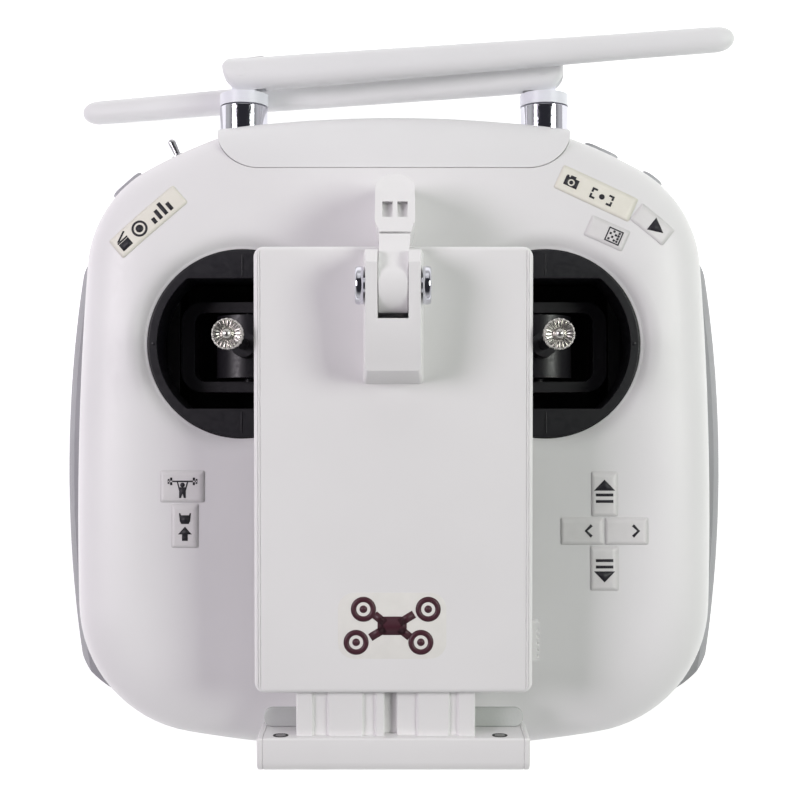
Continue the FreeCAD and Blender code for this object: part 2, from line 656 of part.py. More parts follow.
def switches():
    """Tactile switches behind the buttons of the face, shoulders and rear."""
    made = []
    for n, (x, y) in enumerate(FACE_BUTTONS.values()):
        made.append(block(f"face_switch{n}", (x - 3, x + 3), (y - 3, y + 3), (33, 36.5)))
    for n, side in enumerate((-1, 1)):
        x = side * REAR_BUTTON[0]
        y = REAR_BUTTON[1]
        made.append(block(f"rear_switch{n}", (x - 3, x + 3), (y - 3, y + 3), (18.4, 22)))
    for n, (angle, side) in enumerate(((RECORD_ANGLE, -1), (SHUTTER_ANGLE, 1), (PLAYBACK_ANGLE, 1))):
        seat = on_shoulder(angle, SHOULDER_HEIGHT, 7.4, side)
        made.append(turned_block(f"shoulder_switch{n}", (-3, 3), (-3, 3), (-3.4, 0), seat))
    return made


# ---------------------------------------------------------------- controls


def controls():
    for name, (x, y) in FACE_BUTTONS.items():
        cap = rod(name + "_cap", 6, (x, y, 45), Z_AXIS, dim.face_height + 0.9 - 45)
        flange = rod(name + "_flange", 7.4, (x, y, 45.2), Z_AXIS, 2.4)
        stem = rod(name + "_stem", 2, (x, y, 38), Z_AXIS, 8)
        soft_cap = rounded(name + "_soft", cap, 0.8, at_height(dim.face_height + 0.9))
        node(fuse(name, [soft_cap, flange, stem]))
    for side, tag in ((-1, "left"), (1, "right")):
        x = side * REAR_BUTTON[0]
        y = REAR_BUTTON[1]
        cap = rod(tag + "_rear_cap", 4.2, (x, y, 10.9), Z_AXIS, 6)
        flange = rod(tag + "_rear_flange", 5.6, (x, y, 14.6), Z_AXIS, 1.2)
        node(fuse(tag + "_rear_button", [cap, flange]))
    shoulder_button("record_button", 10, RECORD_ANGLE, -1)
    shoulder_button("shutter_button", 10, SHUTTER_ANGLE, 1)
    shoulder_button("playback_button", 6.4, PLAYBACK_ANGLE, 1)
    dials()
    toggle()


def shoulder_button(name, length, angle, side):
    """A push button that stands 1.4 mm out of the shoulder."""
    cap = pill(name + "_cap", length, 5.4, -6, 1.4)
    flange = pill(name + "_flange", length + 2.4, 5.4, -5.4, -4.2)
    node(place(fuse(name, [cap, flange]), on_shoulder(angle, SHOULDER_HEIGHT, 0, side)))


def dials():
    encoders = []
    for side, name in ((-1, "gimbal_dial"), (1, "settings_dial")):
        base = on_shoulder(DIAL_ANGLE, DIAL_BASE, DIAL_DEPTH, side).Base
        wheel = rod(name + "_wheel", DIAL_RADIUS, base, Z_AXIS, DIAL_WIDTH)
        grooves = []
        for step in range(36):
            turn = math.radians(10 * step)
            offset = Vector(math.cos(turn), math.sin(turn), 0) * DIAL_RADIUS
            start = base + offset - Z_AXIS
            grooves.append(rod(f"{name}_groove{step}", 0.35, start, Z_AXIS, DIAL_WIDTH + 2))
        bore = rod(name + "_bore", 1.5 + dim.running_gap, (base.x, base.y, base.z - 1), Z_AXIS, 10)
        node(cut(name, wheel, grooves + [bore]))
        across = (base.x - 2.5, base.x + 2.5)
        body = block(name + "_encoder_body", across, (base.y - 2.5, base.y + 2.5), (24, 28.5))
        shaft = rod(name + "_encoder_shaft", 1.5, (base.x, base.y, 16.6), Z_AXIS, 8)
        encoders.append(fuse(name + "_encoder", [body, shaft]))
    node(group("dial_encoders", encoders))


def toggle():
    """The mode switch: a threaded bushing through the left shoulder and its lever."""
    seat = on_shoulder(TOGGLE_ANGLE, TOGGLE_HEIGHT, 0, -1)
    bushing = rod("toggle_barrel", 3.1, (0, 0, -7), Z_AXIS, 8)
    body = block("toggle_body", (-4, 4), (-3.5, 3.5), (-12, -6.6))
    room = rod("toggle_room", 2.45, (0, 0, -6.4), Z_AXIS, 9)
    node(place(cut("toggle_switch", fuse("toggle_stock", [bushing, body]), [room]), seat))
    pivot = ball("toggle_pivot", 1.9, (0, 0, -4))
    pin = rod("toggle_pin", 1.2, (0, -1.95, -4), Y_AXIS, 3.9)
    shaft = rod("toggle_shaft", 0.9, (0, 0, -4), Z_AXIS, 4)
    grip = taper("toggle_grip", 0.9, 1.15, (0, 0, -0.5), Z_AXIS, 5)
    tip = ball("toggle_tip", 1.15, (0, 0, 4.5))
    node(place(fuse("toggle_lever", [pivot, pin, shaft, grip, tip]), seat))


# ---------------------------------------------------------------- antennas


def antenna_seat(side):
    """Placement of an antenna: local X runs along the blade's side, local Y along the swivel axis."""
    swivel = -dim.left_swivel if side < 0 else -dim.right_swivel
    turn = Rotation(Y_AXIS, swivel)
    if side > 0:
        turn = turn * Rotation(Y_AXIS, 180)
    return Placement(Vector(side * dim.antenna_spacing, 0, dim.antenna_height), turn)


def antenna(side, tag):
    seat = antenna_seat(side)
    x = side * dim.antenna_spacing
    z = dim.antenna_height
    ring = rod(tag + "_socket_ring", "collar_radius", (x, 76, z), Y_AXIS, 14.6)
    lip = rod(tag + "_socket_lip", 7.4, (x, 74.8, z), Y_AXIS, 1.8)
    bore = rod(tag + "_socket_bore", 3 + dim.running_gap, (x, 70, z), Y_AXIS, 30)
    node(cut(tag + "_antenna_socket", fuse(tag + "_socket_stock", [ring, lip]), [bore]))
    hinge = dim.antenna_hinge
    collar = rod(tag + "_collar", "collar_radius", (0, 90.9, 0), Y_AXIS, 3.3)
    spindle = rod(tag + "_spindle", 3, (0, 72.4, 0), Y_AXIS, 19.2)
    washer = rod(tag + "_washer", 4.4, (0, 72.4, 0), Y_AXIS, 2.1)
    tang = block(tag + "_tang", (-3.25, 3.25), (93.5, hinge), (-1.5, 1.5))
    eye = rod(tag + "_eye", 3.25, (0, hinge, -1.5), Z_AXIS, 3)
    eye_hole = rod(tag + "_eye_hole", 1.5 + dim.running_gap, (0, hinge, -5), Z_AXIS, 10)
    swivel_stock = fuse(tag + "_swivel_stock", [collar, spindle, washer, tang, eye])
    swivel = cut(tag + "_antenna_swivel", swivel_stock, [eye_hole])
    node(place(swivel, seat))
    slope = dim.left_rise if side < 0 else -dim.right_fall
    lean = Vector(math.cos(math.radians(slope)), math.sin(math.radians(slope)), 0)
    middle = Vector(0, hinge, 0)
    knuckle = rod(tag + "_knuckle", 4.5, (0, hinge, -4.5), Z_AXIS, 9)
    bar = taper(tag + "_bar", "antenna_root", "antenna_tip", middle, lean, "antenna_length - antenna_tip")
    tip = ball(tag + "_tip", "antenna_tip", middle + lean * (dim.antenna_length - dim.antenna_tip))
    slot = rod(tag + "_slot", 5.9, (0, hinge, -1.7), Z_AXIS, 3.4)
    pin_hole = rod(tag + "_pin_hole", 1.5, (0, hinge, -6), Z_AXIS, 12)
    blade = cut(tag + "_antenna_blade", fuse(tag + "_blade_stock", [knuckle, bar, tip]), [slot, pin_hole])
    node(place(blade, seat))
    pin = rod(tag + "_antenna_pin", 1.5, (0, 0, 0), Z_AXIS, 9.2)
    node(place(pin, seat * Placement(Vector(0, hinge, -4.6), Rotation())))


def lead(name, points, radius):
    """A coaxial lead as straight runs joined by tangent arcs."""
    edges = []
    begin = points[0]
    for before, corner, after in zip(points, points[1:], points[2:]):
        first = (before - corner).normalize()
        second = (after - corner).normalize()
        run = min((before - corner).Length, (after - corner).Length)
        reach = 0.45 * run
        start = corner + first * reach
        stop = corner + second * reach
        half_turn = math.acos(max(-1, min(1, first.dot(second)))) / 2
        bend = (first + second).normalize()
        centre_gap = reach / math.cos(half_turn)
        radius_of_arc = reach * math.tan(half_turn)
        middle = corner + bend * (centre_gap - radius_of_arc)
        edges.append(Part.LineSegment(begin, start).toShape())
        edges.append(Part.Arc(start, middle, stop).toShape())
        begin = stop
    edges.append(Part.LineSegment(begin, points[-1]).toShape())
    path = Part.Wire(edges)
    section = Part.Wire(Part.makeCircle(radius, points[0], points[1] - points[0]))
    piece = doc.addObject("Part::Feature", name)
    piece.Shape = path.makePipeShell([section], True, True)
    return piece


def antennas():
    antenna(-1, "left")
    antenna(1, "right")
    route = [Vector(13.2, 52, 22), Vector(21, 54, 22), Vector(26, 61, 24), Vector(36, 64.5, 28),
             Vector(42, 66.5, 30), Vector(42.2, 72.2, 30)]
    right = lead("right_lead", route, 0.9)
    node(group("coax_leads", [right, mirrored("left_lead", right)]))


# ---------------------------------------------------------------- holder


HOLDER = Placement(Vector(0, dim.hinge_row, dim.hinge_height), Rotation(X_AXIS, dim.holder_slope))


def holder_arm():
    """The arm that is screwed to the face and carries the hinge over the cradle."""
    hinge = Vector(0, dim.hinge_row, dim.hinge_height)
    side_plane = Placement(Vector(), Rotation(Y_AXIS, Z_AXIS, X_AXIS, "ZXY"))
    foot_end = 64.9
    outline = [(46.6, 50), (foot_end, 50), (foot_end, 67.4), (60.4, 72.2), (38.6, 90.7), (34, 93.2),
               (34, 82.75), (46.6, 80.6)]
    web = prism("arm_web", outline, 10.2, side_plane)
    turn = rod("arm_round", 5.1, (0, foot_end - 5.1, 49), Z_AXIS, 60)
    below = block("arm_below", (-5.1, 5.1), (20, foot_end - 5.1), (49, 110))
    plan = common("arm_plan", [web, fuse("arm_limit", [turn, below])])
    knuckle = rod("arm_knuckle", 5.3, (-3.5, hinge.y, hinge.z), X_AXIS, 7)
    body = fuse("arm_body", [plan, knuckle])
    tools = [rod("arm_bore", "hinge_pin_radius + running_gap", (-20, hinge.y, hinge.z), X_AXIS, 40)]
    for side, low, high in (("left", -6, -3.5), ("right", 3.5, 6)):
        tools.append(block(f"arm_{side}_relief", (low, high), (20, 44), (70, 110)))
    for side in (-1, 1):
        inner, outer = sorted((side * 0.6, side * 3.2))
        tools.append(block(f"arm_window{side + 1}", (inner, outer), (51.6, 56.2), (73.6, 110)))
    for n, y in enumerate(ARM_SCREWS):
        tools.append(rod(f"arm_pilot{n}", 1.2, (0, y, 49), Z_AXIS, 9))
    return node(cut("holder_arm", body, tools))


def cradle():
    top = dim.cradle_top
    low = -dim.cradle_bottom
    face = -dim.cradle_face
    back = face - dim.cradle_depth
    wall = dim.cradle_wall
    half = dim.cradle_half_width
    stock = block("cover_stock", ("-cradle_half_width", "cradle_half_width"),
                  ("-cradle_bottom", "cradle_top"), ("-cradle_face - cradle_depth", "-cradle_face"))
    soft = rounded("cover_soft", rounded("cover_corners", stock, 2.5, upright), 1.2, at_height(face))
    room = block("cover_room", (wall - half, half - wall), (low + wall, top - wall),
                 (back - 1, face - wall))
    exits = block("cover_exit", (-25.4, 20.8), (low - 1, low + 3), (face - 8, face - 2.4))
    window = block("cover_window", (half - 3, half + 1), (RELEASE_LOW - 0.3, RELEASE_HIGH + 0.3),
                   (face - 7.9, face - 3.1))
    node(place(cut("cradle_cover", soft, [room, exits, window]), HOLDER))
    inset = wall + 0.1
    plate = block("tray_plate", (inset - half, half - inset), (low + inset, top - inset), (back, back + 2))
    lip = block("tray_lip", (-32, 32), (top - 5, top - 2), (back - 7, back + 1))
    node(place(fuse("cradle_tray", [plate, rounded("tray_lip_soft", lip, 1.2, along(X_AXIS))]), HOLDER))
    pad = block("pad_stock", (-28, 28), (-86, 0), (back - 0.8, back))
    node(place(rounded("tray_pad", pad, 4, upright), HOLDER))
    badge = block("badge_stock", (-13.7, 13.1), (-91.6, -75.2), (face, f"{face} + label_thickness"))
    node(place(rounded("cradle_badge", badge, 4, upright), HOLDER))
    bracket()
    pin = rod("pin_shaft", "hinge_pin_radius", (-8.75, 0, 0), X_AXIS, 17.5)
    coins = [rod(f"pin_coin{n}", "coin_radius", (x, 0, 0), X_AXIS, 1.45)
             for n, x in enumerate((-8.75, 7.3))]
    node(place(fuse("hinge_pin", [pin] + coins), HOLDER))


def bracket():
    """The hinge bracket on the cradle: two cheeks, a pocket between them and a tapered lower end."""
    face = dim.cradle_face
    outline = [(-23.7, -face), (8.3, -face), (8.3, 3.4), (5.2, 6.4), (-14, 5.4), (-20.7, 3.2)]
    side_plane = Placement(Vector(), Rotation(Y_AXIS, Z_AXIS, X_AXIS, "ZXY"))
    cheeks = prism("bracket_cheeks", outline, "2 * bracket_half_width", side_plane)
    slot = block("bracket_slot_cut", ("-bracket_slot", "bracket_slot"), (-8, 20), (-face - 1, 20))
    bore = rod("bracket_bore", "hinge_pin_radius", (-20, 0, 0), X_AXIS, 40)
    node(place(cut("cradle_bracket", cheeks, [slot, bore]), HOLDER))


def clamp():
    face = -dim.cradle_face
    back = face - dim.cradle_depth
    edge = -dim.cradle_bottom - dim.clamp_gap
    rails = [block(f"rail{n}", span, (edge, -3.4), (face - 7.6, face - 2.8))
             for n, span in enumerate(((-25, -2.2), (0.8, 20.4)))]
    node(place(group("clamp_rails", rails), HOLDER))
    stock = block("jaw_stock", (-34, 34), (f"{edge} - jaw_length", edge), (back - 6.8, face - 0.6))
    soft = rounded("jaw_soft", stock, 2.4, lambda e: along(X_AXIS)(e) and e.CenterOfMass.y < edge - 1)
    down = (0, -1, 0)
    recesses = []
    for n, x in enumerate(JAW_SCREWS):
        start = (x, edge + 1, face - 3.6)
        recesses.append(rod(f"jaw_head_room{n}", 2.1, start, down, 2.7))
        recesses.append(rod(f"jaw_hole{n}", 1.1, start, down, 7.5))
    node(place(cut("clamp_jaw", soft, recesses), HOLDER))
    ledge = block("jaw_ledge", (-31.8, 31.8), (edge, edge + 9.4), (back - 2.8, back - 1.1))
    lip = block("jaw_lip", (-31.8, 31.8), (edge, edge + 1.6), (back - 6.4, back - 2))
    soft_ledge = rounded("jaw_ledge_soft", ledge, 4, lambda e: upright(e) and e.CenterOfMass.y > edge + 5)
    node(place(fuse("jaw_pad", [soft_ledge, lip]), HOLDER))
    screws = []
    for n, x in enumerate(JAW_SCREWS):
        head = rod(f"jaw_screw_head{n}", 2.05, (x, edge - 0.15, face - 3.6), down, 1.5)
        shank = rod(f"jaw_screw_shank{n}", 1.1, (x, edge - 1, face - 3.6), down, 5.3)
        key = doc.addObject("Part::Prism", f"jaw_screw_key{n}")
        key.Polygon = 6
        key.Circumradius = 1.1
        key.Height = 1
        key.Placement = Placement(Vector(x, edge, face - 3.6), Rotation(Z_AXIS, Vector(*down)))
        screws.append(cut(f"jaw_screw{n}", fuse(f"jaw_screw_body{n}", [head, shank]), [key]))
    node(place(group("jaw_screws", screws), HOLDER))
    half = dim.cradle_half_width
    cap = block("release_cap", (half - 4, half + 2), (RELEASE_LOW, RELEASE_HIGH), (face - 7.6, face - 3.4))
    flange = block("release_flange", (half - 5.6, half - 2), (RELEASE_LOW - 1.6, RELEASE_HIGH + 1.6),
                   (face - 8.2, face - 2.8))
    grooves = []
    for step in range(5):
        start = RELEASE_LOW + 1.6 * step + 1.1
        grooves.append(block(f"release_groove{step}", (half + 1.5, half + 3), (start, start + 0.6),
                             (face - 9, face - 2)))
    node(place(cut("release_button", fuse("release_body", [cap, flange]), grooves), HOLDER))


# ---------------------------------------------------------------- fasteners and labels


def fasteners():
    screws = []
    for n, (x, y) in enumerate(POSTS):
        head = rod(f"case_screw_head{n}", 2.7, (x, y, 0.9), Z_AXIS, 2)
        shank = rod(f"case_screw_shank{n}", 1.3, (x, y, 2), Z_AXIS, 20)
        screws.append(fuse(f"case_screw{n}", [head, shank]))
    for n, y in enumerate(ARM_SCREWS):
        head = rod(f"arm_screw_head{n}", 2.4, (0, y, 45.8), Z_AXIS, 2)
        shank = rod(f"arm_screw_shank{n}", 1.2, (0, y, 47), Z_AXIS, 10.5)
        screws.append(fuse(f"arm_screw{n}", [head, shank]))
    node(group("case_screws", screws))


# Labels on the face: centre, length, width and turn in degrees.
LABELS = [
    (-65.6, 55.5, 22.9, 6.4, 41),
    (54.0, 63.1, 22.0, 7.0, -25),
    (69.1, 54.8, 11.3, 5.8, -39),
    (56.8, 52.3, 11.1, 5.9, -24),
    (-55.9, -15.0, 11.8, 8.5, 0),
    (-55.2, -25.4, 7.2, 11.7, 0),
    (55.8, -17.0, 7.0, 11.9, 0),
    (49.9, -26.8, 11.5, 7.3, 0),
    (61.6, -26.8, 11.5, 7.3, 0),
    (55.7, -36.6, 7.5, 11.8, 0),
]


def labels(outer):
    """Thin labels that follow the face and its rounded rim."""
    layer_top = dim.face_height + dim.label_thickness
    layer = case_block("label_layer", -dim.label_thickness, dim.parting_height, layer_top,
                       dim.face_rim + dim.label_thickness, layer_top)
    stocks = []
    for n, (x, y, length, width, turn) in enumerate(LABELS):
        seat = Placement(Vector(x, y, 0), Rotation(Z_AXIS, turn))
        across = (-length / 2, length / 2)
        stocks.append(turned_block(f"label_stock{n}", across, (-width / 2, width / 2), (40, 60), seat))
    pieces = common("label_pieces", [layer, group("label_stocks", stocks)])
    node(cut("face_labels", pieces, [outer]))


# ---------------------------------------------------------------- build


def check():
    """Stop if an object failed or a sub-part has no valid solid."""
    doc.recompute()
    for item in doc.Objects:
        if "Invalid" in item.State or "Error" in item.State:
            raise RuntimeError(f"{item.Label} failed: {item.State}")
    for piece in nodes:
        shape = piece.Shape
        if shape.isNull() or not shape.isValid() or not shape.Solids:
            raise RuntimeError(f"{piece.Label} has no valid solid")


def main():
    outer, inner = front_shell()
    top_deck(inner)
    grip_pads(rear_shell())
    sticks()
    electronics()
    controls()
    antennas()
    holder_arm()
    cradle()
    clamp()
    fasteners()
    labels(outer)
    check()
    os.makedirs("parts", exist_ok=True)
    for piece in nodes:
        piece.Shape.exportStep(f"parts/{piece.Label}.step")
        box = piece.Shape.BoundBox
        print(f"{piece.Label}: {len(piece.Shape.Solids)} solids, {piece.Shape.Volume:.0f} mm3, "
              f"x {box.XMin:.1f} {box.XMax:.1f}, y {box.YMin:.1f} {box.YMax:.1f}, "
              f"z {box.ZMin:.1f} {box.ZMax:.1f}")


main()
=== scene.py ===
"""Looks for the radio transmitter controller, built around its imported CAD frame.

The controller lies on its back: +Z out of its face, +Y towards the antennas. Lengths of pieces are in
millimetres in that frame, and mesh_of turns them into metres. The studio is in metres.
"""

import json
import math

import bmesh
import bpy
import numpy as np
from mathutils import Matrix, Vector
from mathutils.geometry import delaunay_2d_cdt


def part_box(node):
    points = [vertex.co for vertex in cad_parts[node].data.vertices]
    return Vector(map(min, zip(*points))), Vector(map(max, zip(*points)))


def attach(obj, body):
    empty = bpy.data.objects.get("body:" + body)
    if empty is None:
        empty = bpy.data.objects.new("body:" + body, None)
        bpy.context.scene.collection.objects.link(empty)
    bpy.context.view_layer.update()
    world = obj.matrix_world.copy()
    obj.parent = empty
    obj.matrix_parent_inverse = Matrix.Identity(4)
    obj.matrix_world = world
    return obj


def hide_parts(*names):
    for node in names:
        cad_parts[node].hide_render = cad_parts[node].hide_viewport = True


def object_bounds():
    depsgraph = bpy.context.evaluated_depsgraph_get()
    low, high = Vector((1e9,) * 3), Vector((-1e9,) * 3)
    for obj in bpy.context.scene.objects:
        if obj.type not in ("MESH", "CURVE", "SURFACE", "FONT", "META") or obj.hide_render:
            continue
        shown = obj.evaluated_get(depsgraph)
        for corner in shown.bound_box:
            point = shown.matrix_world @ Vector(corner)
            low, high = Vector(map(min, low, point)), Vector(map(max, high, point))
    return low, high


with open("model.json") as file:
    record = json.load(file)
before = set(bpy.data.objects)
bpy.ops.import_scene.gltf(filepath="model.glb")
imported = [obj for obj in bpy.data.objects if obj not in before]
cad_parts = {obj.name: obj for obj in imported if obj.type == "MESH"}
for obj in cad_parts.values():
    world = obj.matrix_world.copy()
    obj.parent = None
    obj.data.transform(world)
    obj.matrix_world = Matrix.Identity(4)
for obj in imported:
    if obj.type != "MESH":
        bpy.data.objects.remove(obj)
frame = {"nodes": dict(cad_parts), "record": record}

MM = 0.001
cad_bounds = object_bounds()
SLOTS = {entry["node"]: entry["material_slot"] for entry in frame["record"]["subparts"]}
BODIES = {node: body for body, nodes in frame["record"]["behaviour"]["bodies"].items() for node in nodes}


def mm_box(node):
    """Lowest and highest corner of a CAD node, in millimetres."""
    low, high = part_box(node)
    return np.array(low) / MM, np.array(high) / MM


# ---- materials


RAMP_START, RAMP_STOP = 0.35, 0.65


def new_material(name):
    made = bpy.data.materials.new(name)
    made.use_nodes = True
    return made, made.node_tree, made.node_tree.nodes["Principled BSDF"]


def texture(tree, kind, scale):
    """A texture in the piece's own coordinates; scale is in waves per metre."""
    coordinates = tree.nodes.new("ShaderNodeTexCoord")
    made = tree.nodes.new("ShaderNodeTex" + kind)
    made.inputs["Scale"].default_value = scale
    tree.links.new(coordinates.outputs["Object"], made.inputs["Vector"])
    return made


def noise(tree, scale, detail=2):
    made = texture(tree, "Noise", scale)
    made.inputs["Detail"].default_value = detail
    return made.outputs["Fac"]


def grade(ramp, positions, colours):
    """Set the places and colours of a ramp's two ends."""
    for element, position, colour in zip(ramp.color_ramp.elements, positions, colours):
        element.position = position
        element.color = (*colour, 1)


def follow(tree, source, low, high, socket):
    """Run a shader's socket from a low to a high colour along a 0 to 1 source."""
    ramp = tree.nodes.new("ShaderNodeValToRGB")
    grade(ramp, (RAMP_START, RAMP_STOP), (low, high))
    tree.links.new(source, ramp.inputs["Fac"])
    tree.links.new(ramp.outputs["Color"], socket)


def mottle(tree, shader, colour, share, scale, detail=2):
    """A base colour that wanders between itself and a darker share of itself."""
    dark = [c * share for c in colour]
    follow(tree, noise(tree, scale, detail), dark, colour, shader.inputs["Base Color"])


def wear(tree, shader, source, low, high):
    """A roughness that varies along a source."""
    follow(tree, source, [low] * 3, [high] * 3, shader.inputs["Roughness"])


def bump(tree, height, strength, depth, shader):
    """Relief of a given depth in millimetres."""
    relief = tree.nodes.new("ShaderNodeBump")
    relief.inputs["Strength"].default_value = strength
    relief.inputs["Distance"].default_value = depth * MM
    tree.links.new(height, relief.inputs["Height"])
    tree.links.new(relief.outputs["Normal"], shader.inputs["Normal"])


def plastic(name, colour, roughness, spread=0.03, grain=900, depth=0.02):
    """Moulded plastic: a faintly uneven colour, a roughness that varies and a fine mould grain."""
    made, tree, shader = new_material(name)
    mottle(tree, shader, colour, 1 - spread, 25)
    fine = noise(tree, grain)
    wear(tree, shader, fine, roughness - 0.05, roughness + 0.06)
    bump(tree, fine, 0.25, depth, shader)
    shader.inputs["Specular IOR Level"].default_value = 0.45
    return made


def metal(name, colour, roughness, depth=0.004):
    """Plated or machined metal with fine marks in its finish."""
    made, tree, shader = new_material(name)
    shader.inputs["Metallic"].default_value = 1.0
    mottle(tree, shader, colour, 0.93, 60)
    fine = noise(tree, 1500, 3)
    wear(tree, shader, fine, roughness, roughness + 0.08)
    bump(tree, fine, 0.3, depth, shader)
    return made


def rubber(name, colour, roughness=0.72):
    """Soft rubber with a fine leathery grain."""
    made, tree, shader = new_material(name)
    mottle(tree, shader, colour, 0.93, 40, 3)
    cells = texture(tree, "Voronoi", 1400).outputs["Distance"]
    bump(tree, cells, 0.5, 0.08, shader)
    wear(tree, shader, cells, roughness, roughness + 0.1)
    shader.inputs["Specular IOR Level"].default_value = 0.35
    return made


def ink(name, colour, roughness):
    """Printed ink or film, slightly uneven."""
    made, tree, shader = new_material(name)
    mottle(tree, shader, colour, 0.965, 300)
    wear(tree, shader, noise(tree, 2500), roughness, roughness + 0.1)
    return made


def leaf_board(name, colour):
    """Circuit board: solder mask with a faint pattern of tracks."""
    made, tree, shader = new_material(name)
    tracks = texture(tree, "Brick", 180)
    tracks.inputs["Mortar Size"].default_value = 0.03
    tracks.inputs["Color1"].default_value = (*colour, 1)
    tracks.inputs["Color2"].default_value = (*[c * 0.8 for c in colour], 1)
    tracks.inputs["Mortar"].default_value = (*[min(1, c * 1.7) for c in colour], 1)
    tree.links.new(tracks.outputs["Color"], shader.inputs["Base Color"])
    wear(tree, shader, noise(tree, 900), 0.3, 0.45)
    return made


MATERIALS = {
    "case_white": plastic("case_white", (0.80, 0.79, 0.80), 0.42),
    "deck_white": plastic("deck_white", (0.79, 0.785, 0.795), 0.40),
    "holder_white": plastic("holder_white", (0.80, 0.79, 0.795), 0.36, grain=1300, depth=0.012),
    "collar_white": plastic("collar_white", (0.80, 0.81, 0.87), 0.34, grain=1300, depth=0.01),
    "antenna_white": plastic("antenna_white", (0.80, 0.80, 0.81), 0.48, grain=1100),
    "grip_rubber": rubber("grip_rubber", (0.40, 0.40, 0.42)),
    "pad_rubber": rubber("pad_rubber", (0.52, 0.535, 0.525)),
    "well_black": plastic("well_black", (0.0085, 0.0080, 0.0115), 0.42, spread=0.2, depth=0.015),
    "gimbal_black": plastic("gimbal_black", (0.0035, 0.0033, 0.0045), 0.55, spread=0.2),
    "gimbal_grey": plastic("gimbal_grey", (0.016, 0.015, 0.019), 0.42, spread=0.12),
    "dial_grey": plastic("dial_grey", (0.47, 0.47, 0.50), 0.36, spread=0.06),
    "spring_steel": metal("spring_steel", (0.5, 0.5, 0.52), 0.3),
    "screw_steel": metal("screw_steel", (0.42, 0.41, 0.41), 0.3),
    "stick_metal": metal("stick_metal", (0.66, 0.64, 0.61), 0.24),
    "switch_metal": metal("switch_metal", (0.62, 0.62, 0.64), 0.16),
    "chrome_ring": metal("chrome_ring", (0.70, 0.70, 0.76), 0.04, depth=0.0005),
    "shield_metal": metal("shield_metal", (0.6, 0.6, 0.6), 0.32),
    "circuit_board": leaf_board("circuit_board", (0.015, 0.11, 0.05)),
    "battery_wrap": plastic("battery_wrap", (0.03, 0.07, 0.2), 0.3, spread=0.1, depth=0.05),
    "light_pipe": plastic("light_pipe", (0.7, 0.82, 0.74), 0.25),
    "lead_jacket": rubber("lead_jacket", (0.02, 0.02, 0.02), 0.5),
    "label_paper": ink("label_paper", (0.80, 0.775, 0.70), 0.45),
    "badge_film": ink("badge_film", (0.055, 0.010, 0.02), 0.4),
}
PALE_FILM = ink("pale_film", (0.735, 0.72, 0.725), 0.38)
CREAM_FILM = ink("cream_film", (0.80, 0.785, 0.755), 0.4)
# A near-black film that paints the shade inside the screw recesses, which are not cut into the jaw.
PAINTED_RECESS_SHADE = ink("painted_recess_shade", (0.02, 0.02, 0.02), 0.6)
BLACK_INK = ink("black_ink", (0.011, 0.010, 0.016), 0.45)


# ---- mesh helpers


SHARP = 38


def mesh_of(name, shape):
    """A mesh in metres from a shape in millimetres."""
    points, faces = shape
    mesh = bpy.data.meshes.new(name)
    mesh.from_pydata([[value * MM for value in point] for point in points], [], faces)
    return mesh


def face_outward(mesh, merge=0.0):
    """Turn the faces outward, after merging points closer than a distance in millimetres."""
    fixed = bmesh.new()
    fixed.from_mesh(mesh)
    if merge:
        bmesh.ops.remove_doubles(fixed, verts=fixed.verts, dist=merge * MM)
    bmesh.ops.recalc_face_normals(fixed, faces=fixed.faces)
    fixed.to_mesh(mesh)
    fixed.free()


def smooth(mesh, sharp=180):
    """Smooth shading, except along edges sharper than an angle in degrees."""
    mesh.polygons.foreach_set("use_smooth", [True] * len(mesh.polygons))
    if sharp < 180:
        mesh.set_sharp_from_angle(angle=math.radians(sharp))


def paint(mesh, material):
    mesh.materials.clear()
    mesh.materials.append(material)


def new_piece(name, shape, body, slot, replaced=(), sharp=SHARP, material=None):
    """A mesh piece from a shape in millimetres, smooth except along its sharp edges."""
    mesh = mesh_of(name, shape)
    mesh.validate()
    return dress(bpy.data.objects.new(name, mesh), body, slot, replaced, sharp, material)


def dress(piece, body, slot, replaced=(), sharp=SHARP, material=None):
    """Link a piece, give it its material, hide the CAD parts it takes the place of and hang it on the body it
    rides on.
    """
    bpy.context.collection.objects.link(piece)
    face_outward(piece.data, 0.0015)
    smooth(piece.data, sharp)
    paint(piece.data, material or MATERIALS[slot])
    if replaced:
        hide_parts(*replaced)
    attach(piece, body)
    return piece


def joined(*shapes):
    points = []
    faces = []
    for more_points, more_faces in shapes:
        start = len(points)
        points += [tuple(point) for point in more_points]
        faces += [tuple(start + corner for corner in face) for face in more_faces]
    return points, faces


def moved(shape, matrix):
    points, faces = shape
    return [tuple(matrix @ Vector(point)) for point in points], faces


def loft(rings, closed=False):
    """Quads between rings of equal length, with flat ends unless the last ring meets the first."""
    count = len(rings[0])
    faces = []
    spans = len(rings) if closed else len(rings) - 1
    for step in range(spans):
        low = step * count
        high = (step + 1) % len(rings) * count
        for n in range(count):
            m = (n + 1) % count
            faces.append((low + n, low + m, high + m, high + n))
    if not closed:
        faces.append(tuple(reversed(range(count))))
        faces.append(tuple(range((len(rings) - 1) * count, len(rings) * count)))
    return [tuple(point) for ring in rings for point in ring], faces


def open_loft(rings):
    """A loft without its two ends."""
    points, faces = loft(rings)
    return points, faces[:-2]


def lathe(profile, steps=64, closed=False):
    """A profile of radius and height turned about Z."""
    rings = []
    for radius, height in profile:
        turns = [2 * math.pi * n / steps for n in range(steps)]
        rings.append([(radius * math.cos(t), radius * math.sin(t), height) for t in turns])
    return loft(rings, closed)


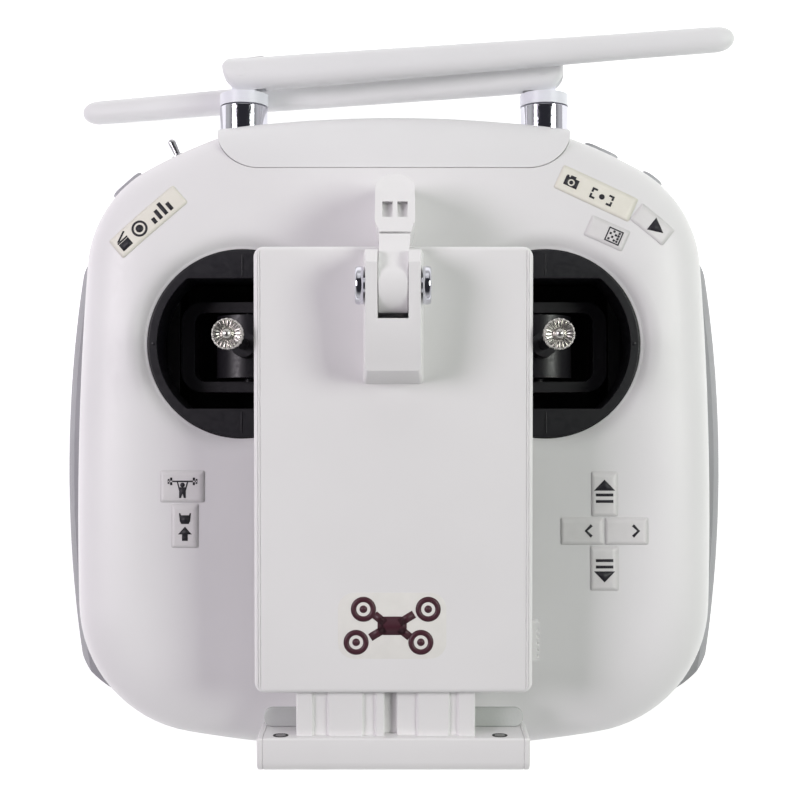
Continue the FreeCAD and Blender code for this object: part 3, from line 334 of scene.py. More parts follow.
def rounded_rectangle(x, y, corner, steps=6):
    """The outline of a rectangle between bounds, with round corners."""
    points = []
    centres = [(x[1] - corner, y[1] - corner), (x[0] + corner, y[1] - corner),
               (x[0] + corner, y[0] + corner), (x[1] - corner, y[0] + corner)]
    for quarter, (cx, cy) in enumerate(centres):
        for step in range(steps + 1):
            turn = math.pi / 2 * (quarter + step / steps)
            points.append((cx + corner * math.cos(turn), cy + corner * math.sin(turn)))
    return points


def slab(x, y, z, corner, edge, both=True):
    """A rounded rectangle with thickness, its rims rounded at the top and, if asked, at the bottom."""
    rings = []
    quarter = [math.pi / 2 * step / 4 for step in range(5)]
    if both:
        levels = [(edge * (1 - math.sin(t)), z[0] + edge * (1 - math.cos(t))) for t in quarter]
    else:
        levels = [(0, z[0])]
    levels += [(edge * (1 - math.cos(t)), z[1] - edge * (1 - math.sin(t))) for t in quarter]
    for inset, height in levels:
        rim = rounded_rectangle((x[0] + inset, x[1] - inset), (y[0] + inset, y[1] - inset), corner - inset)
        rings.append([(px, py, height) for px, py in rim])
    return loft(rings)


def bar_along_y(section, low, high):
    """A section in X and Z, drawn out along Y."""
    return loft([[(x, y, z) for x, z in section] for y in (low, high)])


def inside(point, loop):
    """Whether a point is inside a closed loop."""
    px, py = point
    found = False
    for (ax, ay), (bx, by) in zip(loop, loop[1:] + loop[:1]):
        if (ay > py) != (by > py) and px < (bx - ax) * (py - ay) / (by - ay) + ax:
            found = not found
    return found


def closed_edges(loops):
    """The points of closed loops, and the edges that join them."""
    points = []
    edges = []
    for loop in loops:
        start = len(points)
        points += [Vector(point) for point in loop]
        edges += [(start + n, start + (n + 1) % len(loop)) for n in range(len(loop))]
    return points, edges


def triangulated(points, edges):
    """Triangles between points that keep the edges: flat points, then corners and middle of each triangle."""
    flat, _, triangles, _, _, _ = delaunay_2d_cdt(points, edges, [], 0, 1e-6)
    middles = [sum((flat[corner] for corner in corners), Vector((0, 0))) / 3 for corners in triangles]
    return flat, list(zip([tuple(corners) for corners in triangles], middles))


def filled(loops, extra=()):
    """Triangles that fill closed loops, odd levels only."""
    points, edges = closed_edges(loops)
    points += [Vector(point) for point in extra]
    flat, triangles = triangulated(points, edges)
    chosen = [corners for corners, middle in triangles
              if sum(inside(middle, loop) for loop in loops) % 2 == 1]
    return [(point.x, point.y) for point in flat], chosen


def modifier(piece, kind, name, **values):
    made = piece.modifiers.new(name, kind)
    for key, value in values.items():
        setattr(made, key, value)
    return made


def soften(piece, width, segments=2, angle=32):
    """Rounded edges whose flat neighbours stay flat."""
    modifier(piece, "BEVEL", "edges", width=width * MM, segments=segments, limit_method="ANGLE",
             angle_limit=math.radians(angle), harden_normals=True, use_clamp_overlap=True)


# ---- CAD nodes that stay


def own_mesh(mesh):
    """The mesh without the normals that came with it."""
    if "custom_normal" in mesh.attributes:
        mesh.attributes.remove(mesh.attributes["custom_normal"])
    return mesh


def finish_node(node):
    """Soft edges and a procedural material on a CAD node whose shape stays."""
    piece = frame["nodes"][node]
    smooth(own_mesh(piece.data))
    paint(piece.data, MATERIALS[SLOTS[node]])
    modifier(piece, "WELD", "weld", merge_threshold=0.002 * MM)
    soften(piece, 0.25)


def carved(name, node, cutters, width):
    """A copy of a CAD node with grooves cut into it, which stands for the node."""
    mesh = own_mesh(frame["nodes"][node].data.copy())
    piece = dress(bpy.data.objects.new(name, mesh), BODIES[node], SLOTS[node], [node])
    tool = bpy.data.objects.new(name + "_tool", mesh_of(name + "_tool", joined(*cutters)))
    bpy.context.collection.objects.link(tool)
    face_outward(tool.data)
    modifier(piece, "BOOLEAN", "grooves", operation="DIFFERENCE", object=tool, solver="EXACT")
    bpy.context.view_layer.update()
    result = bpy.data.meshes.new_from_object(piece.evaluated_get(bpy.context.evaluated_depsgraph_get()))
    piece.modifiers.clear()
    piece.data = result
    bpy.data.objects.remove(tool)
    smooth(result, SHARP)
    soften(piece, width, 3)


def wedge(start, end, normal, width, depth):
    """A V-shaped cutter along a line on a surface."""
    start = Vector(start)
    end = Vector(end)
    normal = Vector(normal).normalized()
    side = (end - start).normalized().cross(normal) * width
    section = [normal * width - side * 2, -normal * depth, normal * width + side * 2]
    return loft([[tuple(place + corner) for corner in section] for place in (start, end)])


# ---- case outline and face


HALF_WIDTH, WAIST = 86.1, -17.0
TOP, BOTTOM = 85.9, -86.4
TOP_ARC, SIDE_ARC, BOTTOM_ARC = 360.0, 900.0, 334.0
SHOULDER_TOP, SHOULDER_ARC, BLEND_ARC = 89.0, 138.5, 60.0
TOP_CORNER, BOTTOM_CORNER = 32.5, 36.0
PARTING, FACE = 30.0, 50.0
CROWN_WIDTH, CROWN_BASE, CROWN_POWER = 22.0, 36.0, 2.6
WELL = (40.5, 23.0)
WELL_HOLE = 25.12
WELL_ROLL = 31.0
DECK_LOW, DECK_HALF, DECK_CORNER = 70.0, 48.0, 12.0
RIM = 3.2
GROOVE, GROOVE_DEPTH = 0.2, 0.34
UNDER_DECK = 1.2
BUTTONS = ((17.0, -28.0), (-17.0, -28.0))
BUTTON_ROLL = 7.3
WELL_STEPS, BUTTON_STEPS = 112, 40
TOGGLE_ANGLE = 64.5


def meeting(first, first_reach, second, second_reach):
    """The point at two distances from two centres, on the right side."""
    line = second - first
    gap = line.length
    along = (first_reach**2 - second_reach**2 + gap**2) / (2 * gap)
    offset = math.sqrt(first_reach**2 - along**2)
    line.normalize()
    choices = [first + line * along + Vector((-line.y, line.x)) * offset * turn for turn in (-1, 1)]
    return max(choices, key=lambda point: point.x)


def bearing(start, end):
    return math.atan2(end.y - start.y, end.x - start.x)


TOP_CENTRE = Vector((0, TOP - TOP_ARC))
SHOULDER_CENTRE = Vector((0, SHOULDER_TOP - SHOULDER_ARC))
SIDE_CENTRE = Vector((HALF_WIDTH - SIDE_ARC, WAIST))
BOTTOM_CENTRE = Vector((0, BOTTOM + BOTTOM_ARC))
TOP_TURN = meeting(SIDE_CENTRE, SIDE_ARC - TOP_CORNER, SHOULDER_CENTRE, SHOULDER_ARC - TOP_CORNER)
BOTTOM_TURN = meeting(SIDE_CENTRE, SIDE_ARC - BOTTOM_CORNER, BOTTOM_CENTRE, BOTTOM_ARC - BOTTOM_CORNER)
BLEND_TURN = meeting(TOP_CENTRE, TOP_ARC - BLEND_ARC, SHOULDER_CENTRE, SHOULDER_ARC - BLEND_ARC)

# The right half from the bottom to the top: the angles where the arcs join, then each arc's centre, radius
# and steps, then the corners' centres, radii and angles.
JOINTS = [-math.pi / 2, bearing(BOTTOM_CENTRE, BOTTOM_TURN), bearing(SIDE_CENTRE, BOTTOM_TURN),
          bearing(SIDE_CENTRE, TOP_TURN), bearing(SHOULDER_CENTRE, TOP_TURN),
          bearing(SHOULDER_CENTRE, BLEND_TURN), bearing(TOP_CENTRE, BLEND_TURN), math.pi / 2]
ARCS = [(BOTTOM_CENTRE, BOTTOM_ARC, 14), (BOTTOM_TURN, BOTTOM_CORNER, 16), (SIDE_CENTRE, SIDE_ARC, 20),
        (TOP_TURN, TOP_CORNER, 16), (SHOULDER_CENTRE, SHOULDER_ARC, 14), (BLEND_TURN, BLEND_ARC, 4),
        (TOP_CENTRE, TOP_ARC, 14)]
TURNS = [(ARCS[n][0], ARCS[n][1], JOINTS[n], JOINTS[n + 1]) for n in (1, 3, 5)]


def outline(inset):
    """The case's outline moved in by an inset, with close points at each end of the deck."""
    right = []
    for (centre, radius, steps), first, last in zip(ARCS, JOINTS, JOINTS[1:]):
        angles = [first + (last - first) * step / steps for step in range(steps)]
        if centre == SHOULDER_CENTRE:
            ends = [math.acos(x / radius) for x in (DECK_HALF + 0.3, DECK_HALF + 0.12, DECK_HALF - 0.4)]
            angles = sorted([a for a in angles if min(abs(a - end) for end in ends) > 0.8 / radius] + ends)
        reach = radius - inset
        right += [(centre.x + reach * math.cos(a), centre.y + reach * math.sin(a)) for a in angles]
    left = [(-x, y) for x, y in reversed(right[1:])]
    return right + [(0, TOP - inset)] + left


def inset_of(x, y):
    """How far a point is inside the case's outline."""
    point = Vector((abs(x), y))
    for centre, radius, first, last in TURNS:
        if first < bearing(centre, point) < last:
            return radius - (point - centre).length
    return min(radius - (point - centre).length for centre, radius, _ in ARCS[::2])


def crown(inset):
    """Height of the face at an inset from the outline."""
    share = min(max(inset / CROWN_WIDTH, 0), 1)
    return CROWN_BASE + (FACE - CROWN_BASE) * (1 - (1 - share) ** CROWN_POWER) ** (1 / CROWN_POWER)


def face_height(x, y):
    return crown(inset_of(x, y))


def deck_height(x, y):
    return crown(TOP_ARC - (Vector((x, y)) - TOP_CENTRE).length)


def deck_edge(x):
    """The deck's lower seam at a place across the case."""
    across = abs(x) - DECK_HALF + DECK_CORNER
    if across <= 0:
        return DECK_LOW
    return DECK_LOW + DECK_CORNER - math.sqrt(max(DECK_CORNER**2 - across**2, 0))


def under_deck(x, y):
    return abs(x) < DECK_HALF and y > deck_edge(x) + 0.05


def surface_height(x, y):
    """Height of whatever lies on top: the deck or the face."""
    return deck_height(x, y) if under_deck(x, y) else face_height(x, y)


def seam_path(offset):
    """The deck's lower seam from right to left, moved out by an offset."""
    corner = DECK_CORNER + offset
    cx = DECK_HALF - DECK_CORNER
    cy = DECK_LOW + DECK_CORNER
    turns = [-math.pi / 2 * step / 24 for step in range(25)]
    bend = [(cx + corner * math.cos(t), cy + corner * math.sin(t)) for t in turns]
    bend = [point for point in bend if inset_of(*point) > RIM + 0.15]
    straight = [(x, DECK_LOW - offset) for x in np.linspace(cx, -cx, 13)[1:-1]]
    return bend + straight + [(-x, y) for x, y in reversed(bend)]


ROLL_PROFILE = [(30.2, -0.05), (29.4, -0.16), (28.7, -0.36), (28.1, -0.62), (27.6, -0.92), (27.15, -1.24),
                (26.75, -1.56), (26.4, -1.86), (26.1, -2.08), (25.85, -2.2), (25.62, -2.26), (25.42, -2.36),
                (25.25, -2.56), (WELL_HOLE, -2.9), (WELL_HOLE, -3.4)]
BUTTON_PROFILE = [(6.9, -0.04), (6.6, -0.14), (6.4, -0.36), (6.3, -0.8), (6.3, -2.2)]


def circle(centre, radius, steps):
    return [(centre[0] + radius * math.cos(2 * math.pi * n / steps),
             centre[1] + radius * math.sin(2 * math.pi * n / steps)) for n in range(steps)]


def rolled_hole(centre, first_radius, profile, steps):
    """Rings that roll the face down into a round hole."""
    rings = []
    for radius, drop in [(first_radius, 0)] + profile:
        rings.append([(x, y, face_height(x, y) + drop) for x, y in circle(centre, radius, steps)])
    return open_loft(rings)


def face_panel():
    """The front face: rim, crown, the seat under the deck, well edges and button holes."""
    levels = [(2.2, PARTING + 0.1), (0.35, PARTING + 0.1), (0.1, PARTING + 0.18), (0, PARTING + 0.45),
              (0, 33.0)]
    levels += [(inset, crown(inset)) for inset in (0, 0.12, 0.35, 0.7, 1.2, 1.8, 2.5, RIM)]
    rings = []
    for inset, height in levels:
        ring = []
        for x, y in outline(inset):
            hidden = under_deck(x, y) and height > CROWN_BASE - 1
            ring.append((x, y - 0.6 * hidden, height - UNDER_DECK * hidden))
        rings.append(ring)
    shapes = [open_loft(rings)]

    seams = [seam_path(offset) for offset in (-GROOVE, 0, GROOVE)]
    wells = [(side * WELL[0], WELL[1]) for side in (-1, 1)]
    loops = [outline(RIM)] + [circle(centre, WELL_ROLL, WELL_STEPS) for centre in wells]
    loops += [circle(centre, BUTTON_ROLL, BUTTON_STEPS) for centre in BUTTONS]
    points, edges = closed_edges(loops)
    for path in seams:
        edges += [(len(points) + n, len(points) + n + 1) for n in range(len(path) - 1)]
        points += [Vector(point) for point in path]
    seam_points = [Vector(point) for point in seams[1]]

    def near(place, centres, reach):
        return any((place - Vector(centre)).length < reach for centre in centres)

    def near_hole(place, well_gap, button_gap):
        return near(place, wells, WELL_ROLL + well_gap) or near(place, BUTTONS, BUTTON_ROLL + button_gap)

    def seam_gap(place):
        best = 1e9
        for first, second in zip(seam_points, seam_points[1:]):
            run = second - first
            share = min(max((place - first).dot(run) / run.length_squared, 0), 1)
            best = min(best, (place - first - run * share).length)
        return best

    def clear(point):
        place = Vector(point)
        return not near_hole(place, 0.9, 0.9) and seam_gap(place) > 0.9

    for inset in (4.1, 5.2, 6.4, 7.8, 9.3, 11.0, 12.8, 14.8, 17.0, 19.4, 22.0):
        points += [Vector(point) for point in outline(inset)[::1 if inset < 12 else 2] if clear(point)]
    inner = np.arange(-60, 61, 6.0)
    points += [Vector((x, y)) for x in inner for y in inner if inset_of(x, y) > 24 and clear((x, y))]
    flat, triangles = triangulated(points, edges)
    heights = []
    for point in flat:
        drop = UNDER_DECK if under_deck(point.x, point.y) else GROOVE_DEPTH * (seam_gap(point) < 0.03)
        heights.append((point.x, point.y, face_height(point.x, point.y) - drop))
    faces = [corners for corners, middle in triangles
             if not near_hole(middle, -0.02, -0.03) and inset_of(middle.x, middle.y) > RIM]
    shapes.append((heights, faces))
    shapes += [rolled_hole(centre, WELL_ROLL, ROLL_PROFILE, WELL_STEPS) for centre in wells]
    shapes += [rolled_hole(centre, BUTTON_ROLL, BUTTON_PROFILE, BUTTON_STEPS) for centre in BUTTONS]
    panel = new_piece("front_face", joined(*shapes), "controller", "case_white", ["front_shell"], 40)
    modifier(panel, "SOLIDIFY", "wall", thickness=1.6 * MM, offset=-1, use_even_offset=False)


def deck():
    """The top deck, whose ends stand out over the shoulders."""
    columns = [DECK_HALF * math.sin(math.pi / 2 * step / 40) for step in range(-40, 41)]
    rows = 22
    points = []
    for x in columns:
        high = TOP_CENTRE.y + math.sqrt(TOP_ARC**2 - x**2)
        low = deck_edge(x) + 0.06
        for row in range(rows):
            y = high + (low - high) * (row / (rows - 1)) ** 1.8
            points.append((x, y, deck_height(x, y)))
    faces = []
    for column in range(len(columns) - 1):
        for row in range(rows - 1):
            n = column * rows + row
            faces.append((n, n + 1, n + rows + 1, n + rows))
    last = (len(columns) - 1) * rows
    border = list(range(rows)) + [column * rows + rows - 1 for column in range(1, len(columns))]
    border += [last + row for row in range(rows - 2, -1, -1)]
    border += [column * rows for column in range(len(columns) - 2, 0, -1)]
    start = len(points)
    skirt = []
    for n in border:
        x, y, z = points[n]
        skirt.append(min(z - 1.9, max(face_height(x, y) - UNDER_DECK, PARTING + 4.8)))
    points += [(points[n][0], points[n][1], height) for n, height in zip(border, skirt)]
    count = len(border)
    faces += [(border[n], border[(n + 1) % count], start + (n + 1) % count, start + n) for n in range(count)]
    piece = new_piece("deck_cover", (points, faces), "controller", "deck_white", ["top_deck"])
    soften(piece, 0.22, 3, 50)


# ---- labels


# Labels on the face: centre, length, width and turn in degrees.
LABELS = {
    "record": (-65.6, 55.5, 22.9, 6.4, 41),
    "photo": (54.0, 63.1, 22.0, 7.0, -25),
    "play": (69.1, 54.8, 11.3, 5.8, -39),
    "grid": (56.8, 52.3, 11.1, 5.9, -24),
    "lift": (-55.9, -15.0, 11.8, 8.5, 0),
    "cup": (-55.2, -25.4, 7.2, 11.7, 0),
    "up": (55.8, -17.0, 7.0, 11.9, 0),
    "back": (49.9, -26.8, 11.5, 7.3, 0),
    "next": (61.6, -26.8, 11.5, 7.3, 0),
    "down": (55.7, -36.6, 7.5, 11.8, 0),
}
CREAM_LABELS = ("record", "photo")
LABEL_LIFT = 0.11
INK_LIFT = 0.17


def turned(points, x=0, y=0, degrees=0, size=1):
    turn = math.radians(degrees)
    return [(x + size * (px * math.cos(turn) - py * math.sin(turn)),
             y + size * (px * math.sin(turn) + py * math.cos(turn))) for px, py in points]


def box_loop(x, y, length, width, degrees=0):
    a, b = length / 2, width / 2
    return turned([(-a, -b), (a, -b), (a, b), (-a, b)], x, y, degrees)


def stroke(points, width):
    """A thick open line as a closed loop."""
    places = [Vector(point) for point in points]
    left = []
    right = []
    for n, place in enumerate(places):
        before = places[max(n - 1, 0)]
        after = places[min(n + 1, len(places) - 1)]
        run = (after - before).normalized()
        side = Vector((-run.y, run.x)) * width / 2
        left.append(tuple(place + side))
        right.append(tuple(place - side))
    return left + right[::-1]


def arrow_head(x, y, length, height):
    a, b = length / 2, height / 2
    return turned([(-a, -b), (a, -b), (0, b)], x, y)


def record_sign():
    """A film clapper, then a record dot in its ring and three level bars."""
    clapper = [box_loop(-8.4, -0.75, 3.3, 2.2), box_loop(-8.4, 0.75, 3.4, 0.42),
               box_loop(-8.15, 1.75, 3.5, 0.5, 24)]
    dot = [circle((-2.9, 0), radius, steps) for radius, steps in ((2.2, 40), (1.6, 40), (1.05, 32))]
    bars = [box_loop(1.5 + 1.85 * step, -1.9 + height / 2, 1.05, height)
            for step, height in enumerate((1.7, 2.9, 3.9, 2.4))]
    return clapper + dot + bars


def photo_sign():
    """A small camera, then a view finder's corners round a dot."""
    camera = [box_loop(-7.2, -0.2, 3.8, 2.5), circle((-7.2, -0.25), 0.95, 28),
              circle((-7.2, -0.25), 0.55, 24), box_loop(-7.2, 1.35, 1.5, 0.6),
              box_loop(-8.7, 1.25, 0.6, 0.35)]
    corners = []
    for x, y in ((-1.4, 1.2), (5.0, 1.2), (5.0, -1.8), (-1.4, -1.8)):
        inward_x = 1 if x < 1 else -1
        inward_y = -1 if y > 0 else 1
        corners.append([(x + a * inward_x, y + b * inward_y)
                        for a, b in ((0, 0), (1.5, 0), (1.5, 0.55), (0.55, 0.55), (0.55, 1.3), (0, 1.3))])
    return camera + corners + [circle((1.8, -0.3), 0.75, 28)]


def grid_sign():
    """A chequered square in a thin border."""
    border = [box_loop(1.6, 0, 3.7, 3.5), box_loop(1.6, 0, 3.1, 2.9)]
    squares = [box_loop(0.6 + 0.68 * column, -1.0 + 0.68 * row, 0.52, 0.52)
               for column in range(4) for row in range(4) if (column + row) % 2 == 0 or column == 3]
    return border + squares


def lift_sign():
    """A figure made of strokes that holds a bar with two discs over its head."""
    bar = box_loop(0, 1.3, 7.6, 0.4)
    plates = [box_loop(side * x, 1.3, length, width)
              for x, length, width in ((3.0, 0.55, 2.0), (3.7, 0.45, 1.3)) for side in (-1, 1)]
    head_loop = circle((0, 0.35), 0.62, 24)
    trunk = [(-1.5, 1.08), (-1.15, 1.08), (-0.8, -0.25), (0.8, -0.25), (1.15, 1.08), (1.5, 1.08),
             (0.85, -1.3), (0.9, -3.1), (0.35, -3.1), (0, -1.9), (-0.35, -3.1), (-0.9, -3.1), (-0.85, -1.3)]
    return plates + [bar, head_loop, trunk]


def cup_sign():
    """A cup over an arrow that points up at it."""
    cup = [(-1.6, 3.3), (-1.25, 3.3), (-1.05, 2.75), (1.05, 2.75), (1.25, 3.3), (1.6, 3.3), (1.35, 1.2),
           (1.0, 0.45), (-1.0, 0.45), (-1.35, 1.2)]
    arrow = [(-0.75, -4.0), (0.75, -4.0), (0.75, -2.3), (1.8, -2.3), (0, -0.25), (-1.8, -2.3),
             (-0.75, -2.3)]
    return [cup, arrow]


def up_sign():
    return [arrow_head(0, 2.3, 5.6, 2.9), box_loop(0, -0.3, 4.6, 0.75), box_loop(0, -2.0, 4.6, 0.75)]


def chevron(x, side):
    return stroke([(x + 0.75 * side, 1.5), (x - 0.75 * side, 0), (x + 0.75 * side, -1.5)], 0.75)


SIGNS = {
    "record": record_sign(),
    "photo": photo_sign(),
    "play": [turned([(-1.3, -1.6), (1.7, 0), (-1.3, 1.6)], 1.4, 0, size=1.35)],
    "grid": [turned(loop, 0.2, 0, size=1.12) for loop in grid_sign()],
    "lift": lift_sign(),
    "cup": cup_sign(),
    "up": up_sign(),
    "back": [chevron(1.7, 1)],
    "next": [chevron(2.4, -1)],
    "down": [turned(loop, degrees=180) for loop in up_sign()],
}


def dense(loop, step=1.2):
    """The loop with points added so that no edge is longer than a step."""
    result = []
    for (ax, ay), (bx, by) in zip(loop, loop[1:] + loop[:1]):
        parts = max(1, math.ceil(math.dist((ax, ay), (bx, by)) / step))
        result += [(ax + (bx - ax) * n / parts, ay + (by - ay) * n / parts) for n in range(parts)]
    return result


def laid(shape, label, lift):
    """A flat shape in a label's own plane, laid on the curved face."""
    x, y, _, _, degrees = label
    points, faces = shape
    placed = turned(points, x, y, degrees)
    return [(px, py, surface_height(px, py) + lift) for px, py in placed], faces


def label_sheets():
    """Thin printed labels, which bend over the crown of the face."""
    sheets = {"cream_labels": [], "pale_labels": []}
    signs = []
    for name, label in LABELS.items():
        _, _, length, width, _ = label
        border = rounded_rectangle((-length / 2, length / 2), (-width / 2, width / 2), 0.5, 3)
        grid = [(px, py) for px in np.arange(1 - length / 2, length / 2 - 0.6, 1.5)
                for py in np.arange(1 - width / 2, width / 2 - 0.6, 1.5)]
        kind = "cream_labels" if name in CREAM_LABELS else "pale_labels"
        sheets[kind].append(laid(filled([dense(border)], grid), label, LABEL_LIFT))
        signs.append(laid(filled([dense(loop) for loop in SIGNS[name]]), label, INK_LIFT))
    for name, shapes in sheets.items():
        replaced, film = (["face_labels"], PALE_FILM) if name == "pale_labels" else ([], None)
        piece = new_piece(name, joined(*shapes), "controller", "label_paper", replaced, material=film)
        modifier(piece, "SOLIDIFY", "sheet", thickness=0.08 * MM, offset=-1)
    prints = new_piece("label_signs", joined(*signs), "controller", "label_paper", material=BLACK_INK)
    modifier(prints, "SOLIDIFY", "ink", thickness=0.03 * MM, offset=-1)


# ---- sticks and wells


# The crown of a stick head from its base up: share of the radius, depth of the valleys, and how far its
# ridges and valleys are below the top.
CROWN_TEETH = 20
CROWN_LEVELS = [(0.90, 0.02, 4.4, 4.4), (1.0, 0.02, 4.1, 4.1), (1.0, 0.02, 1.75, 1.75),
                (0.94, 0.02, 1.25, 1.25), (0.86, 0, 1.0, 1.45), (0.55, 0, 1.25, 1.65), (0.42, 0, 1.6, 1.7)]
DOME_RADIUS, DOME_RISE = 1.35, 1.3
NUT_TEETH, NUT_DROP = 26, 4.6


def stick_heads():
    """Machined stick heads: a crown of radial teeth round a dome, over a knurled lock nut."""
    for side in ("left", "right"):
        node = side + "_stick_head"
        low, high = mm_box(node)
        middle = (low + high) / 2
        radius = (high[0] - low[0]) / 2
        base, top = low[2], high[2]
        rings = [tooth_ring(radius * share, depth, CROWN_TEETH, top - ridge, top - valley)
                 for share, depth, ridge, valley in CROWN_LEVELS]
        for step in range(7):
            turn = math.pi / 2 * step / 6
            height = top - DOME_RISE + DOME_RISE * math.sin(turn)
            rings.append(tooth_ring(DOME_RADIUS * math.cos(turn) + 0.02, 0, CROWN_TEETH, height, height))
        nut_top = top - NUT_DROP
        levels = ((0.78, base), (0.82, base + 0.3), (0.82, nut_top - 0.3), (0.78, nut_top))
        nut = [tooth_ring(radius * share, 0.045, NUT_TEETH, height, height) for share, height in levels]
        shape = moved(joined(loft(rings), loft(nut)), Matrix.Translation((middle[0], middle[1], 0)))
        new_piece(side + "_stick_crown", shape, BODIES[node], "stick_metal", [node], sharp=28)


def tooth_ring(radius, depth, teeth, ridge, valley):
    """A ring of four points a tooth, whose ridges and valleys differ in reach and height."""
    ring = []
    for step in range(4 * teeth):
        turn = 2 * math.pi * step / (4 * teeth)
        high = step % 4 in (0, 1)
        reach = radius if high else radius * (1 - depth)
        ring.append((reach * math.cos(turn), reach * math.sin(turn), ridge if high else valley))
    return ring


def toggle_bushing():
    """The low bushing that the toggle lever comes out of."""
    angle = math.radians(TOGGLE_ANGLE)
    reach = SHOULDER_ARC
    place = Matrix.Translation((-reach * math.cos(angle), SHOULDER_CENTRE.y + reach * math.sin(angle), 35.5))
    turn = Matrix.Rotation(math.pi / 2 - angle, 4, "Z") @ Matrix.Rotation(-math.pi / 2, 4, "X")
    shape = lathe([(2.4, -2.0), (2.4, 0.35), (2.1, 0.6), (1.5, 0.6), (1.5, -2.0)], 40, True)
    new_piece("toggle_bushing", moved(shape, place @ turn), "controller", "switch_metal", ["toggle_switch"])


def well_marks():
    """Centre marks moulded on each well's plate, and a small index dot at its outer side."""
    plate = mm_box("right_stick_well")[1][2]
    dot = lathe([(0.55, plate - 0.1), (0.55, plate + 0.1), (0.4, plate + 0.2), (0.02, plate + 0.22)], 20)
    for side, tag in ((-1, "left"), (1, "right")):
        x = side * WELL[0]
        marks = []
        for way in (-1, 1):
            span = sorted((WELL[1] + way * 18.2, WELL[1] + way * 23.9))
            marks.append(slab((x - 0.22, x + 0.22), span, (plate - 0.1, plate + 0.16), 0.2, 0.1, False))
        marks.append(moved(dot, Matrix.Translation((x + side * 23.6, WELL[1], 0))))
        new_piece(tag + "_well_marks", joined(*marks), "controller", "well_black")


# ---- device holder


# Lengths of the cradle are from the hinge's axis, with Y along the cradle.
HINGE = Matrix.Translation((0, 34, 88))
HOLDER = HINGE @ Matrix.Rotation(math.radians(3.3), 4, "X")
COVER_FACE = -9.6
COVER_HALF = 34.4
COVER_LOW, COVER_HIGH = -100.2, 10.1
RAIL_TOP, RAIL_BASE = -12.4, -17.2
RAIL_LOW, RAIL_HIGH = -111.6, -3.4


def in_holder(shape):
    return moved(shape, HOLDER)


def cover():
    """The cradle's cover with the seam of its front plate along both sides."""
    cutters = []
    for side in (-1, 1):
        for inset in (1.0, 1.6):
            x = side * (COVER_HALF - inset)
            start, end = (x, COVER_LOW - 1, COVER_FACE), (x, COVER_HIGH + 1, COVER_FACE)
            cutters.append(in_holder(wedge(start, end, (0, 0, 1), 0.12, 0.26)))
    carved("cradle_front", "cradle_cover", cutters, 0.2)


# Each rail's lands and channels from left to right: first and last X, and whether it stands up.
RAIL_LANDS = (
    [(-24.3, -20.0, 1), (-20.0, -16.4, 0), (-16.4, -7.5, 1), (-7.5, -4.5, 0), (-4.5, -2.2, 1)],
    [(0.8, 5.9, 0), (5.9, 14.0, 1), (14.0, 16.1, 0), (16.1, 20.4, 1)],
)
CHANNEL_DEPTH = 0.9


def rails():
    """Two moulded slide rails with raised lands between shallow channels, and the web between them."""
    web_top = RAIL_BASE + 1.6
    sections = []
    for spans in RAIL_LANDS:
        top = []
        for start, stop, raised in spans:
            height = RAIL_TOP if raised else RAIL_TOP - CHANNEL_DEPTH
            top += [(start + 0.25, height), (stop - 0.25, height)]
        first, last = spans[0][0], spans[-1][1]
        right = [(first, RAIL_BASE), (last, RAIL_BASE), (last, top[-1][1] - 0.3)]
        sections.append(right + top[::-1] + [(first, top[0][1] - 0.3)])
    sections.append([(-2.6, RAIL_BASE), (1.2, RAIL_BASE), (1.2, web_top), (-2.6, web_top)])
    shapes = [in_holder(bar_along_y(section, RAIL_LOW, RAIL_HIGH)) for section in sections]
    soften(new_piece("slide_rails", joined(*shapes), "clamp", "holder_white", ["clamp_rails"], 25), 0.15)


JAW_BACK = RAIL_LOW - 8.4
JAW_BASE, JAW_TOP = -27.0, COVER_FACE - 0.6
# Across the jaw from its end: X, and how far the section is drawn in, with the end cap's seam at 32.5.
JAW_STATIONS = [(34.0, 0.5), (33.85, 0.16), (33.5, 0.0), (32.66, 0.0), (32.5, 0.24), (32.34, 0.0)]
# The jaw's rounded edges: Y, Z, radius, and the angle where each one starts.
JAW_EDGES = ((RAIL_LOW, JAW_TOP, 0.6, 0), (JAW_BACK, JAW_TOP, 2.4, 90), (JAW_BACK, JAW_BASE, 2.4, 180),
             (RAIL_LOW, JAW_BASE, 0.6, 270))
SCREW_PLACES = (-28.2, 26.6)


def jaw():
    """The clamp jaw: a long bar with rounded outer edges and a seam at each end cap."""
    rings = []
    for x, inset in JAW_STATIONS + [(-x, inset) for x, inset in reversed(JAW_STATIONS)]:
        inset *= 0.5
        section = []
        for cy, cz, radius, first in JAW_EDGES:
            inward_y = -1 if cy == RAIL_LOW else 1
            inward_z = -1 if cz == JAW_TOP else 1
            for step in range(6):
                turn = math.radians(first + 90 * step / 5)
                section.append((x, cy + inward_y * (radius + inset) + (radius - inset) * math.cos(turn),
                                cz + inward_z * (radius + inset) + (radius - inset) * math.sin(turn)))
        rings.append(section)
    new_piece("jaw_bar", in_holder(loft(rings)), "clamp", "holder_white", ["clamp_jaw"], 45)
    # Near-black discs round the screw heads are painted shade: they stand for the dark inside of recesses
    # that the jaw does not have.
    recess_shade_disc = lathe([(1.95, -1.0), (1.95, 0.02), (1.85, 0.04), (0.02, 0.04)], 36)
    head = lathe([(1.3, -1.2), (1.3, 0.06), (1.1, 0.12), (0.55, 0.12), (0.5, 0.07), (0.02, 0.07)], 32)
    places = [Matrix.Translation((x, RAIL_LOW, COVER_FACE - 3.6)) @ Matrix.Rotation(math.radians(-90), 4, "X")
              for x in SCREW_PLACES]
    heads = joined(*[in_holder(moved(head, place)) for place in places])
    recess_shade_discs = joined(*[in_holder(moved(recess_shade_disc, place)) for place in places])
    new_piece("jaw_screw_heads", heads, "clamp", "screw_steel", ["jaw_screws"], 40)
    new_piece("jaw_recess_shade", recess_shade_discs, "clamp", "screw_steel", material=PAINTED_RECESS_SHADE)


